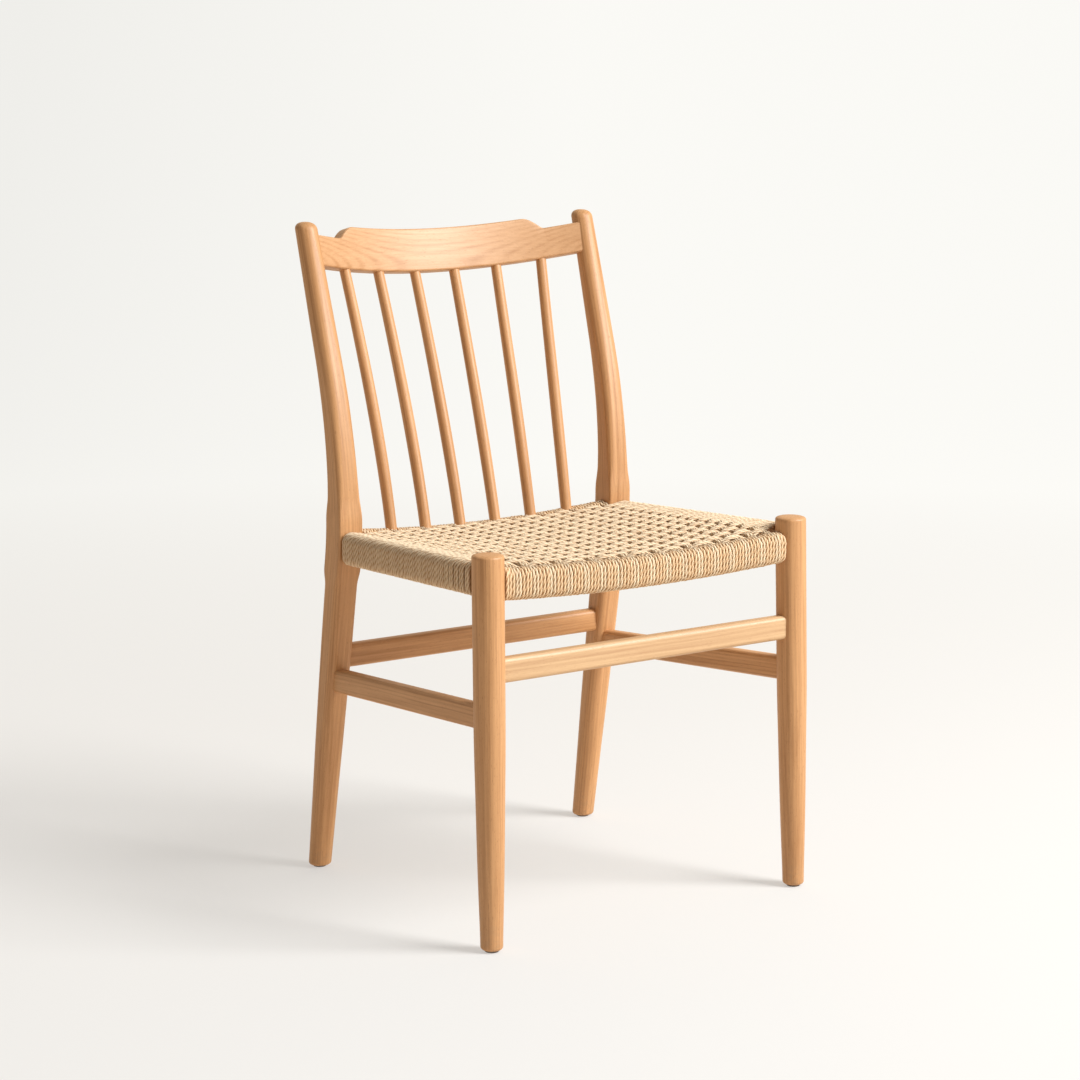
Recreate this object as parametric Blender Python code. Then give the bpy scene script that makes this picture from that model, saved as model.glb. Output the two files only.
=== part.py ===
"""Side chair with a woven cord seat, built piece by piece as a chair maker would.

Units are metres, +Z is up, the sitter faces -Y and +X is to the right of someone who
faces the chair's front. While the pieces are made, y = 0 is the line through the front
legs' feet; at the end everything is moved so that y = 0 is the middle of the depth.
"""

import math

import bmesh
import bpy
import numpy as np
from mathutils import Matrix, Vector

# ---- overall sizes -------------------------------------------------------------------
TOTAL_HEIGHT = 0.810  # floor to the tops of the rear posts
SEAT_HEIGHT = 0.4515  # floor to the top of the side wraps, at the front leg
SEAT_DEPTH = 0.3446  # front legs' feet to the rear posts, at the seat
FRONT_HALF_SPAN = 0.2222  # middle of the chair to a front leg, at the seat
REAR_HALF_SPAN = 0.2044  # middle of the chair to a rear post, at the seat
CLEARANCE = 0.0003  # gap left round a tenon, and between faces that touch

# ---- front legs: turned, a little splayed, low domed tops ---------------------------
LEG_SPLAY = 0.0080  # sideways lean, metres per metre of height, feet outwards
LEG_RAKE = 0.0239  # backward lean of the leg, metres per metre of height
LEG_FOOT_SET = 0.0020  # the foot's centre, in front of y = 0
LEG_ABOVE_SEAT = 0.0100  # how far the leg's top stands above the side wrap
# (share of the height, radius)
LEG_TAPER = (
    (0.0, 0.0130),
    (0.14, 0.0149),
    (0.24, 0.0160),
    (0.39, 0.0171),
    (0.53, 0.0183),
    (1.0, 0.0187),
)
LEG_DOME_HEIGHT = 0.0050
LEG_DOME_SQUARENESS = 3.2  # 2 is an ellipse, more is flatter with a tighter edge

# ---- rear posts: bent, round at both ends and squared where the rails join ----------
POST_RAKE = 0.155  # slope below the seat, feet backwards
POST_LOWER_BEND = 0.333  # radius of the bend just below the seat
POST_LEAN = 0.295  # slope of the back above the seat
POST_UPPER_BEND = 0.667  # radius of the bend above the seat
POST_BEND_HEIGHT = 0.0  # where both bends meet, above or below the side wrap's top
POST_FOOT_SPREAD = 0.0034  # outward lean below the seat, metres per metre
POST_TOP_SPREAD = 0.0106  # outward lean above the seat, metres per metre
BLOCK_BELOW_SEAT = 0.0640  # the squared block's lower end, below the side wrap's top
BLOCK_HEIGHT = 0.0680
# (share of the height up to the block, half width, corner radius)
POST_LOWER_SECTIONS = (
    (0.0, 0.0142, 0.0142),
    (0.26, 0.0160, 0.0160),
    (0.42, 0.0161, 0.0130),
    (0.57, 0.0162, 0.0110),
    (0.78, 0.0164, 0.0090),
    (0.96, 0.0165, 0.0082),
    (1.0, 0.0168, 0.0042),
)
# (height above the block, half width, corner radius)
POST_UPPER_SECTIONS = (
    (0.0, 0.0166, 0.0040),
    (0.010, 0.0159, 0.0050),
    (0.022, 0.0154, 0.0066),
    (0.045, 0.0154, 0.0075),
    (0.085, 0.0152, 0.0089),
    (0.115, 0.0150, 0.0096),
    (0.145, 0.0149, 0.0102),
    (0.185, 0.0147, 0.0113),
    (0.225, 0.0146, 0.0122),
)
POST_TOP_RADIUS = 0.0137
POST_DOME_HEIGHT = 0.0100
POST_DOME_SQUARENESS = 2.4
FOOT_ROUNDING = 0.0040  # radius round the lower edge of every foot
ARC_MIDDLE = 1.0 - math.sqrt(0.5)  # the middle of a unit corner arc, in from either face

# ---- glides: a disc on a nail under each foot ----------------------------------------
GLIDE_THICKNESS = 0.0020
GLIDE_RADIUS = 0.0084
GLIDE_CHAMFER = 0.0006
GLIDE_NAIL_RADIUS = 0.0014
GLIDE_NAIL_LENGTH = 0.0100

# ---- seat rails and the cord wrapped round them -------------------------------------
CORD = 0.0032  # one layer of cord
FRONT_WRAP_WIDTH = 0.0260
FRONT_WRAP_HEIGHT = 0.0380
FRONT_RAIL_DROP = 0.0064  # how far its ends' tops sit below the side wraps' tops
FRONT_RAIL_DIP = 0.0078  # how far its middle is lower than its ends
SIDE_WRAP_WIDTH = 0.0260
SIDE_WRAP_HEIGHT = 0.0410
SIDE_RAIL_FALL = 0.0379  # the side rails fall to the rear, metres per metre
SIDE_RAIL_OUTSET = 0.0012  # the side rail's line, outside the leg's and post's centres
REAR_WRAP_WIDTH = 0.0260
REAR_WRAP_HEIGHT = 0.0380
REAR_RAIL_DROP = 0.0098  # how far its ends' tops sit below the side wraps' front tops
REAR_RAIL_DIP = 0.0130  # how far its middle is lower than its ends
REAR_RAIL_BOW = 0.0160  # how far its middle is further back than its ends
REAR_RAIL_SET = 0.0060  # its ends' centres, in front of the post's centre
WRAP_CORNER = 0.0090
WRAP_END_GAP = 0.0030  # bare wood between a wrap and the leg
RAIL_CORNER = WRAP_CORNER - CORD
RAIL_TENON_REACH = -0.0044  # tenon tip to the leg's centre line, short of it

# ---- woven seat ----------------------------------------------------------------------
WEAVE_THICKNESS = 0.0065
WEAVE_BELOW_WRAP = 0.0010  # its edges, below the side wraps' tops
WEAVE_DISH_FRONT = 0.0135  # how far its middle sags, at the front
WEAVE_DISH_REAR = 0.0080
WEAVE_EDGE_GAP = 0.0010  # gap to the wraps all round
WEAVE_REAR_INSET = 0.0110  # its rear corners stay this far inside the post's centre
WEAVE_STEPS = 12

# ---- stretchers ----------------------------------------------------------------------
STRETCHER_WIDTH = 0.0180
STRETCHER_HEIGHT = 0.0290
STRETCHER_CORNER = 0.0055
FRONT_STRETCHER_HEIGHT = 0.3263  # floor to its centre line
REAR_STRETCHER_HEIGHT = 0.2775
SIDE_STRETCHER_FRONT_HEIGHT = 0.2728
SIDE_STRETCHER_REAR_HEIGHT = 0.2480
STRETCHER_TENON_REACH = 0.0

# ---- tenons of rails and stretchers --------------------------------------------------
TENON_THICKNESS = 0.0080
TENON_SHOULDER = 0.0060  # wood left above and below a tenon
TENON_ROOT = 0.0120  # how far a tenon is buried in its own bar
BAR_STOP = 0.60  # a bar's full width stops at this share of the leg's radius from its centre

# ---- crest rail ----------------------------------------------------------------------
CREST_BELOW_TOP = 0.0730  # its lower edge in the middle, below the posts' tops
CREST_RADIUS = 0.453  # of its bow in plan
CREST_SET = 0.0040  # its ends' centres, in front of the post's centre
CREST_EDGE_RADIUS = 1.064  # of its lower edge, seen from the front
CREST_THICKNESS = 0.0170
CREST_MIDDLE_HEIGHT = 0.0550
CREST_END_HEIGHT = 0.0388
CREST_SHOULDER_MARGIN = 0.0525  # post's centre to the shoulder's foot
CREST_SHOULDER_LENGTH = 0.0255
CREST_CORNER = 0.0025
CREST_STOP = 0.40  # the board stops at this share of the post's radius from its centre
CREST_TENON_THICKNESS = 0.0070
CREST_TENON_SHOULDER = 0.0075
CREST_TENON_DEPTH = 0.0110

# ---- spindles ------------------------------------------------------------------------
SPINDLE_COUNT = 6
SPINDLE_LOWER_MARGIN = 0.0711  # post's centre to the outer spindle, at the seat
SPINDLE_UPPER_MARGIN = 0.0587  # the same, at the crest rail
SPINDLE_LOWER_RADIUS = 0.0070
SPINDLE_BELLY_RADIUS = 0.0075
SPINDLE_UPPER_RADIUS = 0.0066
SPINDLE_BELLY_PLACE = 0.35  # share of the length where it is thickest and most bowed
SPINDLE_BOW = 0.0040  # how far it stands forward of a straight line
SPINDLE_BOW_SKEW = 0.35  # moves the bow's deepest point down; 0 leaves it in the middle
SPINDLE_FAN_POWER = 1.6  # spindles spread sideways late, following the posts; 1 is a straight fan
SPINDLE_LET_IN = 0.0015  # how far its full width sinks into the rails
SPINDLE_TENON_RADIUS = 0.0045
SPINDLE_LOWER_TENON = 0.0150
SPINDLE_UPPER_TENON = 0.0140

# ---- how finely round shapes are cut -------------------------------------------------
QUADRANT_ANGLES = (0.0, 18.0, 36.0, 45.0, 54.0, 72.0)
SPINDLE_SIDES = 12
SPINDLE_STEPS = 8
SPINDLE_SLOPE_STEP = 0.01  # share of the length over which its direction is measured
GLIDE_SIDES = 16
CORNER_STEPS = 2
RAIL_STEPS = 10
SHARP_ANGLE = math.radians(38.0)

SIDES = (("left", -1.0), ("right", 1.0))
UP = np.array((0.0, 0.0, 1.0))


# ---- materials -----------------------------------------------------------------------
def make_material(name: str, color: tuple, roughness: float) -> bpy.types.Material:
    """A plain Principled material of one colour."""
    material = bpy.data.materials.new(name)
    material.use_nodes = True
    shader = material.node_tree.nodes["Principled BSDF"]
    shader.inputs["Base Color"].default_value = (*color, 1.0)
    shader.inputs["Roughness"].default_value = roughness
    shader.inputs["Metallic"].default_value = 0.0
    return material


# ---- meshes --------------------------------------------------------------------------
def loft(name: str, rings: np.ndarray, material: bpy.types.Material) -> bpy.types.Object:
    """A closed solid through a stack of rings, shape (rings, points, 3), capped at both ends."""
    mesh_maker = bmesh.new()
    rows = [[mesh_maker.verts.new(point) for point in ring] for ring in rings]
    count = len(rows[0])
    for lower, upper in zip(rows, rows[1:]):
        for i in range(count):
            j = (i + 1) % count
            mesh_maker.faces.new((lower[i], lower[j], upper[j], upper[i]))
    mesh_maker.faces.new(rows[0])
    mesh_maker.faces.new(rows[-1])
    return finish_mesh(name, mesh_maker, material)


def sleeve(
    name: str,
    outer: np.ndarray,
    inner: np.ndarray,
    material: bpy.types.Material,
) -> bpy.types.Object:
    """An open-ended tube wall between two stacks of rings of the same shape."""
    mesh_maker = bmesh.new()
    shells = []
    for rings in (outer, inner):
        shells.append([[mesh_maker.verts.new(point) for point in ring] for ring in rings])
    count = len(shells[0][0])
    for i in range(count):
        j = (i + 1) % count
        for rows in shells:
            for lower, upper in zip(rows, rows[1:]):
                mesh_maker.faces.new((lower[i], lower[j], upper[j], upper[i]))
        for end in (0, -1):
            outside = shells[0][end]
            inside = shells[1][end]
            mesh_maker.faces.new((outside[i], outside[j], inside[j], inside[i]))
    return finish_mesh(name, mesh_maker, material)


def finish_mesh(
    name: str,
    mesh_maker: bmesh.types.BMesh,
    material: bpy.types.Material,
) -> bpy.types.Object:
    """Turns the faces outwards and makes the object."""
    bmesh.ops.recalc_face_normals(mesh_maker, faces=mesh_maker.faces)
    mesh = bpy.data.meshes.new(name)
    mesh_maker.to_mesh(mesh)
    mesh_maker.free()
    mesh.materials.append(material)
    made = bpy.data.objects.new(name, mesh)
    bpy.context.scene.collection.objects.link(made)
    return made


def combine(target: bpy.types.Object, tool: bpy.types.Object, operation: str) -> None:
    """Applies a Boolean of the tool to the target, then removes the tool."""
    modifier = target.modifiers.new("joinery", "BOOLEAN")
    modifier.operation = operation
    modifier.solver = "EXACT"
    modifier.object = tool
    graph = bpy.context.evaluated_depsgraph_get()
    result = bpy.data.meshes.new_from_object(target.evaluated_get(graph))
    target.modifiers.clear()
    target.data = result
    bpy.data.objects.remove(tool)


# ---- sections ------------------------------------------------------------------------
def rounded_square_ring(half: float, corner: float, centre: tuple, z: float) -> np.ndarray:
    """A level ring of a rounded square, found along fixed directions so that it can go round."""
    quadrants = np.arange(4)[:, None] * 90.0
    angles = np.radians((quadrants + np.array(QUADRANT_ANGLES)).ravel())
    c = np.abs(np.cos(angles))
    s = np.abs(np.sin(angles))
    core = half - corner
    flat = half / np.maximum(c, s)
    on_flat = flat * np.minimum(c, s) <= core
    along = core * (c + s)
    rounded = along + np.sqrt(np.maximum(along**2 - 2.0 * core**2 + corner**2, 0.0))
    reach = np.where(on_flat, flat, rounded)
    x = centre[0] + reach * np.cos(angles)
    y = centre[1] + reach * np.sin(angles)
    return np.stack([x, y, np.full_like(x, z)], 1)


def rounded_bar_outline(width: float, height: float, corner: float) -> np.ndarray:
    """A rounded rectangle about the origin, as (across, up) points, anticlockwise."""
    turns = np.linspace(0.0, math.pi / 2.0, CORNER_STEPS + 1)
    outline = []
    for quarter, (sx, sy) in enumerate(((1, 1), (-1, 1), (-1, -1), (1, -1))):
        centre = (sx * (width / 2.0 - corner), sy * (height / 2.0 - corner))
        for turn in turns + quarter * math.pi / 2.0:
            across = centre[0] + corner * math.cos(turn)
            outline.append((across, centre[1] + corner * math.sin(turn)))
    return np.array(outline)


def dome(radius: float, height: float, squareness: float) -> list[tuple[float, float]]:
    """(height, radius) of rings over a quarter of a superellipse, ending in a small flat on top."""
    turns = np.radians((24.0, 45.0, 62.0, 78.0))
    power = 2.0 / squareness
    rise = height / math.sin(turns[-1]) ** power
    return [(rise * math.sin(turn) ** power, radius * math.cos(turn) ** power) for turn in turns]


# ---- where the legs and posts run ----------------------------------------------------
def leg_centre(z: float, side: float) -> tuple[float, float]:
    """A front leg's centre at a height: a straight, slightly leaning line."""
    x = FRONT_HALF_SPAN + LEG_SPLAY * (SEAT_HEIGHT - z)
    return side * x, LEG_RAKE * z - LEG_FOOT_SET


def bend_offset(distance: float, slope: float, radius: float) -> float:
    """How far a line has moved sideways once it has bent from plumb to a slope."""
    bent = slope * radius
    if distance < bent:
        return distance**2 / (2.0 * radius)
    return bent**2 / (2.0 * radius) + slope * (distance - bent)


def post_centre(z: float, side: float) -> tuple[float, float]:
    """A rear post's centre at a height: raked below the seat, plumb at it, leaning above."""
    above = z - (SEAT_HEIGHT + POST_BEND_HEIGHT)
    if above < 0.0:
        y = SEAT_DEPTH + bend_offset(-above, POST_RAKE, POST_LOWER_BEND)
        return side * (REAR_HALF_SPAN - POST_FOOT_SPREAD * above), y
    y = SEAT_DEPTH + bend_offset(above, POST_LEAN, POST_UPPER_BEND)
    return side * (REAR_HALF_SPAN + POST_TOP_SPREAD * above), y


def front_leg_rings(side: float, grow: float = 0.0) -> np.ndarray:
    """Rings of a front leg from the foot to the domed top, optionally swollen for a cutter."""
    top = SEAT_HEIGHT + LEG_ABOVE_SEAT
    foot = GLIDE_THICKNESS + CLEARANCE
    corner = ARC_MIDDLE * FOOT_ROUNDING
    sections = [(foot - grow, LEG_TAPER[0][1] - FOOT_ROUNDING)]
    sections.append((foot + corner, LEG_TAPER[0][1] - corner))
    shaft_end = top - LEG_DOME_HEIGHT
    for share, radius in LEG_TAPER:
        sections.append((foot + FOOT_ROUNDING + share * (shaft_end - foot - FOOT_ROUNDING), radius))
    for height, radius in dome(LEG_TAPER[-1][1], LEG_DOME_HEIGHT, LEG_DOME_SQUARENESS):
        sections.append((shaft_end + height, radius))
    rings = []
    for z, radius in sections:
        rings.append(rounded_square_ring(radius + grow, radius + grow, leg_centre(z, side), z))
    return np.array(rings)


def rear_post_rings(side: float, grow: float = 0.0) -> np.ndarray:
    """Rings of a rear post from the foot to the rounded top, optionally swollen for a cutter."""
    foot = GLIDE_THICKNESS + CLEARANCE
    block_low = SEAT_HEIGHT - BLOCK_BELOW_SEAT
    block_high = block_low + BLOCK_HEIGHT
    shaft_end = TOTAL_HEIGHT - POST_DOME_HEIGHT
    foot_half = POST_LOWER_SECTIONS[0][1]
    rounding = FOOT_ROUNDING
    corner = ARC_MIDDLE * rounding
    sections = [(foot - grow, foot_half - rounding, foot_half - rounding)]
    sections.append((foot + corner, foot_half - corner, foot_half - corner))
    for share, half, corner in POST_LOWER_SECTIONS:
        sections.append((foot + rounding + share * (block_low - foot - rounding), half, corner))
    for above, half, corner in POST_UPPER_SECTIONS:
        sections.append((block_high + above, half, corner))
    taper_start = sections[-1][0]
    for share in (0.5, 1.0):
        half = POST_UPPER_SECTIONS[-1][1] + share * (POST_TOP_RADIUS - POST_UPPER_SECTIONS[-1][1])
        corner = POST_UPPER_SECTIONS[-1][2] + share * (POST_TOP_RADIUS - POST_UPPER_SECTIONS[-1][2])
        sections.append((taper_start + share * (shaft_end - taper_start), half, corner))
    for height, radius in dome(POST_TOP_RADIUS, POST_DOME_HEIGHT, POST_DOME_SQUARENESS):
        sections.append((shaft_end + height, radius, radius))
    rings = []
    for z, half, corner in sections:
        rings.append(rounded_square_ring(half + grow, corner + grow, post_centre(z, side), z))
    return np.array(rings)


# ---- bars between legs ---------------------------------------------------------------
class Bar:
    """A bar from one centre line to another, with an optional dip and bow in its middle."""

    def __init__(self, start: tuple, end: tuple, dip: float = 0.0, bow: float = 0.0) -> None:
        """Keeps the end points, and how far the middle is lower and further back."""
        self.start = np.array(start)
        self.end = np.array(end)
        self.sag = np.array((0.0, bow, -dip))
        heading = (self.end - self.start) * np.array((1.0, 1.0, 0.0))
        self.length = float(np.linalg.norm(heading))
        self.heading = heading / self.length
        self.across = np.cross(UP, self.heading)

    def point(self, share: float) -> np.ndarray:
        """The centre line at a share of the length, sagging as a parabola."""
        straight = self.start + share * (self.end - self.start)
        return straight + self.sag * (1.0 - (2.0 * share - 1.0) ** 2)

    def rings(self, outline: np.ndarray, first: float, last: float, steps: int) -> np.ndarray:
        """The outline carried along the bar, upright and square to its heading."""
        shares = np.linspace(first / self.length, 1.0 - last / self.length, steps + 1)
        upright = outline[:, :1] * self.across + outline[:, 1:] * UP
        return np.array([self.point(share) + upright for share in shares])

    def tenon(
        self,
        at_end: bool,
        leg_radius: float,
        reach: float,
        height: float,
        grow: float,
    ) -> bpy.types.Object:
        """A flat tenon at one end, level or sloped as the bar is, reaching past the leg's centre line."""
        centre = self.end if at_end else self.start
        along = self.end - self.start if at_end else self.start - self.end
        along = along / self.length
        tip = centre + along * (reach + grow)
        root = centre - along * (leg_radius + TENON_ROOT)
        swell = 2.0 * grow
        corner = TENON_THICKNESS / 4.0
        outline = rounded_bar_outline(TENON_THICKNESS + swell, height + swell, corner)
        flat = outline[:, :1] * self.across + outline[:, 1:] * UP
        return loft("tenon", np.array([root + flat, tip + flat]), WOOD)


def add_bar(
    name: str,
    bar: Bar,
    width: float,
    height: float,
    corner: float,
    steps: int,
    reach: float,
    posts: tuple,
    frame: dict,
) -> bpy.types.Object:
    """Makes a bar, copes its shoulders to both posts, adds its tenons and cuts their mortises.

    Args:
        posts: for each end, (name of the leg, its swollen rings, its radius at the bar).
        frame: the legs and posts made so far, by name.
    """
    first, last = (BAR_STOP * leg_radius for _, _, leg_radius in posts)
    made = loft(name, bar.rings(rounded_bar_outline(width, height, corner), first, last, steps), WOOD)
    for _, cutter_rings, _ in posts:
        combine(made, loft("cope", cutter_rings, WOOD), "DIFFERENCE")
    tenon_height = height - 2.0 * TENON_SHOULDER
    for at_end, (leg_name, _, leg_radius) in zip((False, True), posts):
        combine(made, bar.tenon(at_end, leg_radius, reach, tenon_height, 0.0), "UNION")
        mortise = bar.tenon(at_end, leg_radius, reach, tenon_height, CLEARANCE)
        combine(frame[leg_name], mortise, "DIFFERENCE")
    return made


# ---- the wraps' and rails' lines -----------------------------------------------------
def side_rail(side: float) -> Bar:
    """The side rail's line, from the front leg's centre to the rear post's centre, falling to the rear."""
    height = SEAT_HEIGHT - SIDE_WRAP_HEIGHT / 2.0
    leg_x, leg_y = leg_centre(height, side)
    post_x, post_y = post_centre(height, side)
    rear_height = height - SIDE_RAIL_FALL * (post_y - leg_y)
    outset = side * SIDE_RAIL_OUTSET
    return Bar((leg_x + outset, leg_y, height), (post_x + outset, post_y, rear_height))


def front_rail() -> Bar:
    """The front rail's line, dipping in the middle."""
    height = SEAT_HEIGHT - FRONT_RAIL_DROP - FRONT_WRAP_HEIGHT / 2.0
    left = leg_centre(height, -1.0)
    right = leg_centre(height, 1.0)
    return Bar((*left, height), (*right, height), dip=FRONT_RAIL_DIP)


def rear_rail() -> Bar:
    """The rear rail's line, dipping and bowing back in the middle."""
    height = SEAT_HEIGHT - REAR_RAIL_DROP - REAR_WRAP_HEIGHT / 2.0
    left = post_centre(height, -1.0)
    right = post_centre(height, 1.0)
    start = (left[0], left[1] - REAR_RAIL_SET, height)
    end = (right[0], right[1] - REAR_RAIL_SET, height)
    return Bar(start, end, dip=REAR_RAIL_DIP, bow=REAR_RAIL_BOW)


def add_wrap(
    name: str,
    bar: Bar,
    width: float,
    height: float,
    first: float,
    last: float,
) -> bpy.types.Object:
    """The cord round a rail, as a sleeve that ends short of the legs."""
    outer = rounded_bar_outline(width, height, WRAP_CORNER)
    wall = CORD - CLEARANCE
    inner = rounded_bar_outline(width - 2.0 * wall, height - 2.0 * wall, WRAP_CORNER - wall)
    outer_rings = bar.rings(outer, first, last, RAIL_STEPS)
    inner_rings = bar.rings(inner, first, last, RAIL_STEPS)
    return sleeve(name, outer_rings, inner_rings, CORD_FIBRE)


# ---- crest rail ----------------------------------------------------------------------
class Crest:
    """The bowed and shaped top rail, leaning back with the posts."""

    def __init__(self) -> None:
        """Works out where the rail meets the posts."""
        self.middle_z = TOTAL_HEIGHT - CREST_BELOW_TOP
        self.post_x, post_y = post_centre(self.middle_z, 1.0)
        rise = self.lower_edge(self.post_x) - self.middle_z
        self.end_y = post_y + POST_LEAN * rise - CREST_SET
        self.up = np.array((0.0, POST_LEAN, 1.0)) / math.hypot(POST_LEAN, 1.0)

    def lower_edge(self, x: float) -> float:
        """The lower edge's height, an arc that is lowest in the middle."""
        return self.middle_z + x**2 / (2.0 * CREST_EDGE_RADIUS)

    def depth_of_bow(self, x: float) -> float:
        """How far an arc of the bow's radius falls forward at x."""
        return CREST_RADIUS - math.sqrt(CREST_RADIUS**2 - x**2)

    def base(self, x: float) -> np.ndarray:
        """The lower edge's centre."""
        y = self.end_y + self.depth_of_bow(self.post_x) - self.depth_of_bow(x)
        return np.array((x, y, self.lower_edge(x)))

    def tangent(self, x: float) -> np.ndarray:
        """Unit vector along the rail, towards +X."""
        angle = math.asin(x / CREST_RADIUS)
        return np.array((math.cos(angle), -math.sin(angle), 0.0))

    def height(self, x: float) -> float:
        """The board's height: raised in the middle, dropping in a rounded shoulder to each end."""
        shoulder_foot = self.post_x - CREST_SHOULDER_MARGIN
        into = (abs(x) - (shoulder_foot - CREST_SHOULDER_LENGTH)) / CREST_SHOULDER_LENGTH
        share = min(max(into, 0.0), 1.0)
        drop = (CREST_MIDDLE_HEIGHT - CREST_END_HEIGHT) * (1.0 - math.cos(share * math.pi / 2.0))
        return CREST_MIDDLE_HEIGHT - drop

    def section(self, x: float, thickness: float, low: float, high: float, corner: float) -> np.ndarray:
        """A leaning rounded rectangle across the rail, from low to high above the lower edge."""
        across = np.cross(self.up, self.tangent(x))
        across = across / np.linalg.norm(across)
        outline = rounded_bar_outline(thickness, high - low, corner)
        centre = self.base(x) + self.up * (low + high) / 2.0
        return centre + outline[:, :1] * across + outline[:, 1:] * self.up

    def stations(self) -> np.ndarray:
        """Places along the rail: even ones, with more on each shoulder."""
        shoulder_foot = self.post_x - CREST_SHOULDER_MARGIN
        shoulder = shoulder_foot - CREST_SHOULDER_LENGTH * np.array((1.0, 0.8, 0.6, 0.4, 0.2, 0.0))
        inner = np.linspace(0.0, shoulder[0], 5)[:-1]
        outer = np.linspace(shoulder_foot, self.post_x - CREST_STOP * POST_TOP_RADIUS, 4)[1:]
        half = np.concatenate([inner, shoulder, outer])
        return np.concatenate([-half[:0:-1], half])

    def make(self) -> bpy.types.Object:
        """The board through both posts' centres, before its ends are coped."""
        sections = []
        for x in self.stations():
            sections.append(self.section(x, CREST_THICKNESS, 0.0, self.height(x), CREST_CORNER))
        return loft("crest_rail", np.array(sections), WOOD)

    def tenon(self, side: float, grow: float) -> bpy.types.Object:
        """A flat tenon that follows the rail's line into the post."""
        half = CREST_TENON_THICKNESS / 2.0
        x = self.post_x - POST_TOP_RADIUS
        low = CREST_TENON_SHOULDER - grow
        high = CREST_END_HEIGHT - CREST_TENON_SHOULDER + grow
        flat = self.section(side * x, 2.0 * (half + grow), low, high, half / 2.0)
        along = self.tangent(side * x) * side
        root = flat - along * TENON_ROOT
        tip = flat + along * (CREST_TENON_DEPTH + grow)
        return loft("tenon", np.array([root, tip]), WOOD)


# ---- spindles ------------------------------------------------------------------------
def spindle_rings(crest: Crest, rail: Bar, place: float, grow: float) -> np.ndarray:
    """Rings of one spindle from its lower tenon to its upper tenon.

    Args:
        place: from -1 at the left outer spindle to 1 at the right outer one.
        grow: swells it all over, to make the cutter for its sockets.
    """
    lower_x = place * (rail.end[0] - SPINDLE_LOWER_MARGIN)
    upper_x = place * (crest.post_x - SPINDLE_UPPER_MARGIN)
    share = 0.5 + lower_x / rail.length
    lower = rail.point(share) + UP * (REAR_WRAP_HEIGHT / 2.0 - CORD)
    upper = crest.base(upper_x)
    straight = upper - lower
    length = float(np.linalg.norm(straight))
    let_in = SPINDLE_LET_IN + grow
    profile = [(-SPINDLE_LOWER_TENON - grow, SPINDLE_TENON_RADIUS), (-let_in, SPINDLE_TENON_RADIUS)]
    places = (0.0, SPINDLE_BELLY_PLACE, 1.0)
    radii = (SPINDLE_LOWER_RADIUS, SPINDLE_BELLY_RADIUS, SPINDLE_UPPER_RADIUS)
    for t in np.linspace(0.0, 1.0, SPINDLE_STEPS + 1):
        profile.append((-let_in + t * (length + 2.0 * let_in), float(np.interp(t, places, radii))))
    profile.append((length + let_in, SPINDLE_TENON_RADIUS))
    profile.append((length + SPINDLE_UPPER_TENON + grow, SPINDLE_TENON_RADIUS))

    def centre_line(t: float) -> np.ndarray:
        """The spindle's centre: late to spread, bowed forward most at its belly, straight in its sockets."""
        inside = min(max(t, 0.0), 1.0)
        spread = inside**SPINDLE_FAN_POWER - inside
        skew = 1.0 + SPINDLE_BOW_SKEW * (1.0 - 2.0 * inside)
        bow = SPINDLE_BOW * 4.0 * inside * (1.0 - inside) * skew
        return lower + straight * t + np.array((straight[0] * spread, -bow, 0.0))

    angles = np.arange(SPINDLE_SIDES) * 2.0 * math.pi / SPINDLE_SIDES
    rings = []
    for distance, radius in profile:
        t = distance / length
        direction = centre_line(t + SPINDLE_SLOPE_STEP) - centre_line(t - SPINDLE_SLOPE_STEP)
        direction = direction / np.linalg.norm(direction)
        across = np.cross((0.0, 1.0, 0.0), direction)
        across = across / np.linalg.norm(across)
        around = np.cross(direction, across)
        circle = np.cos(angles)[:, None] * across + np.sin(angles)[:, None] * around
        rings.append(centre_line(t) + (radius + grow) * circle)
    return np.array(rings)


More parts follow.
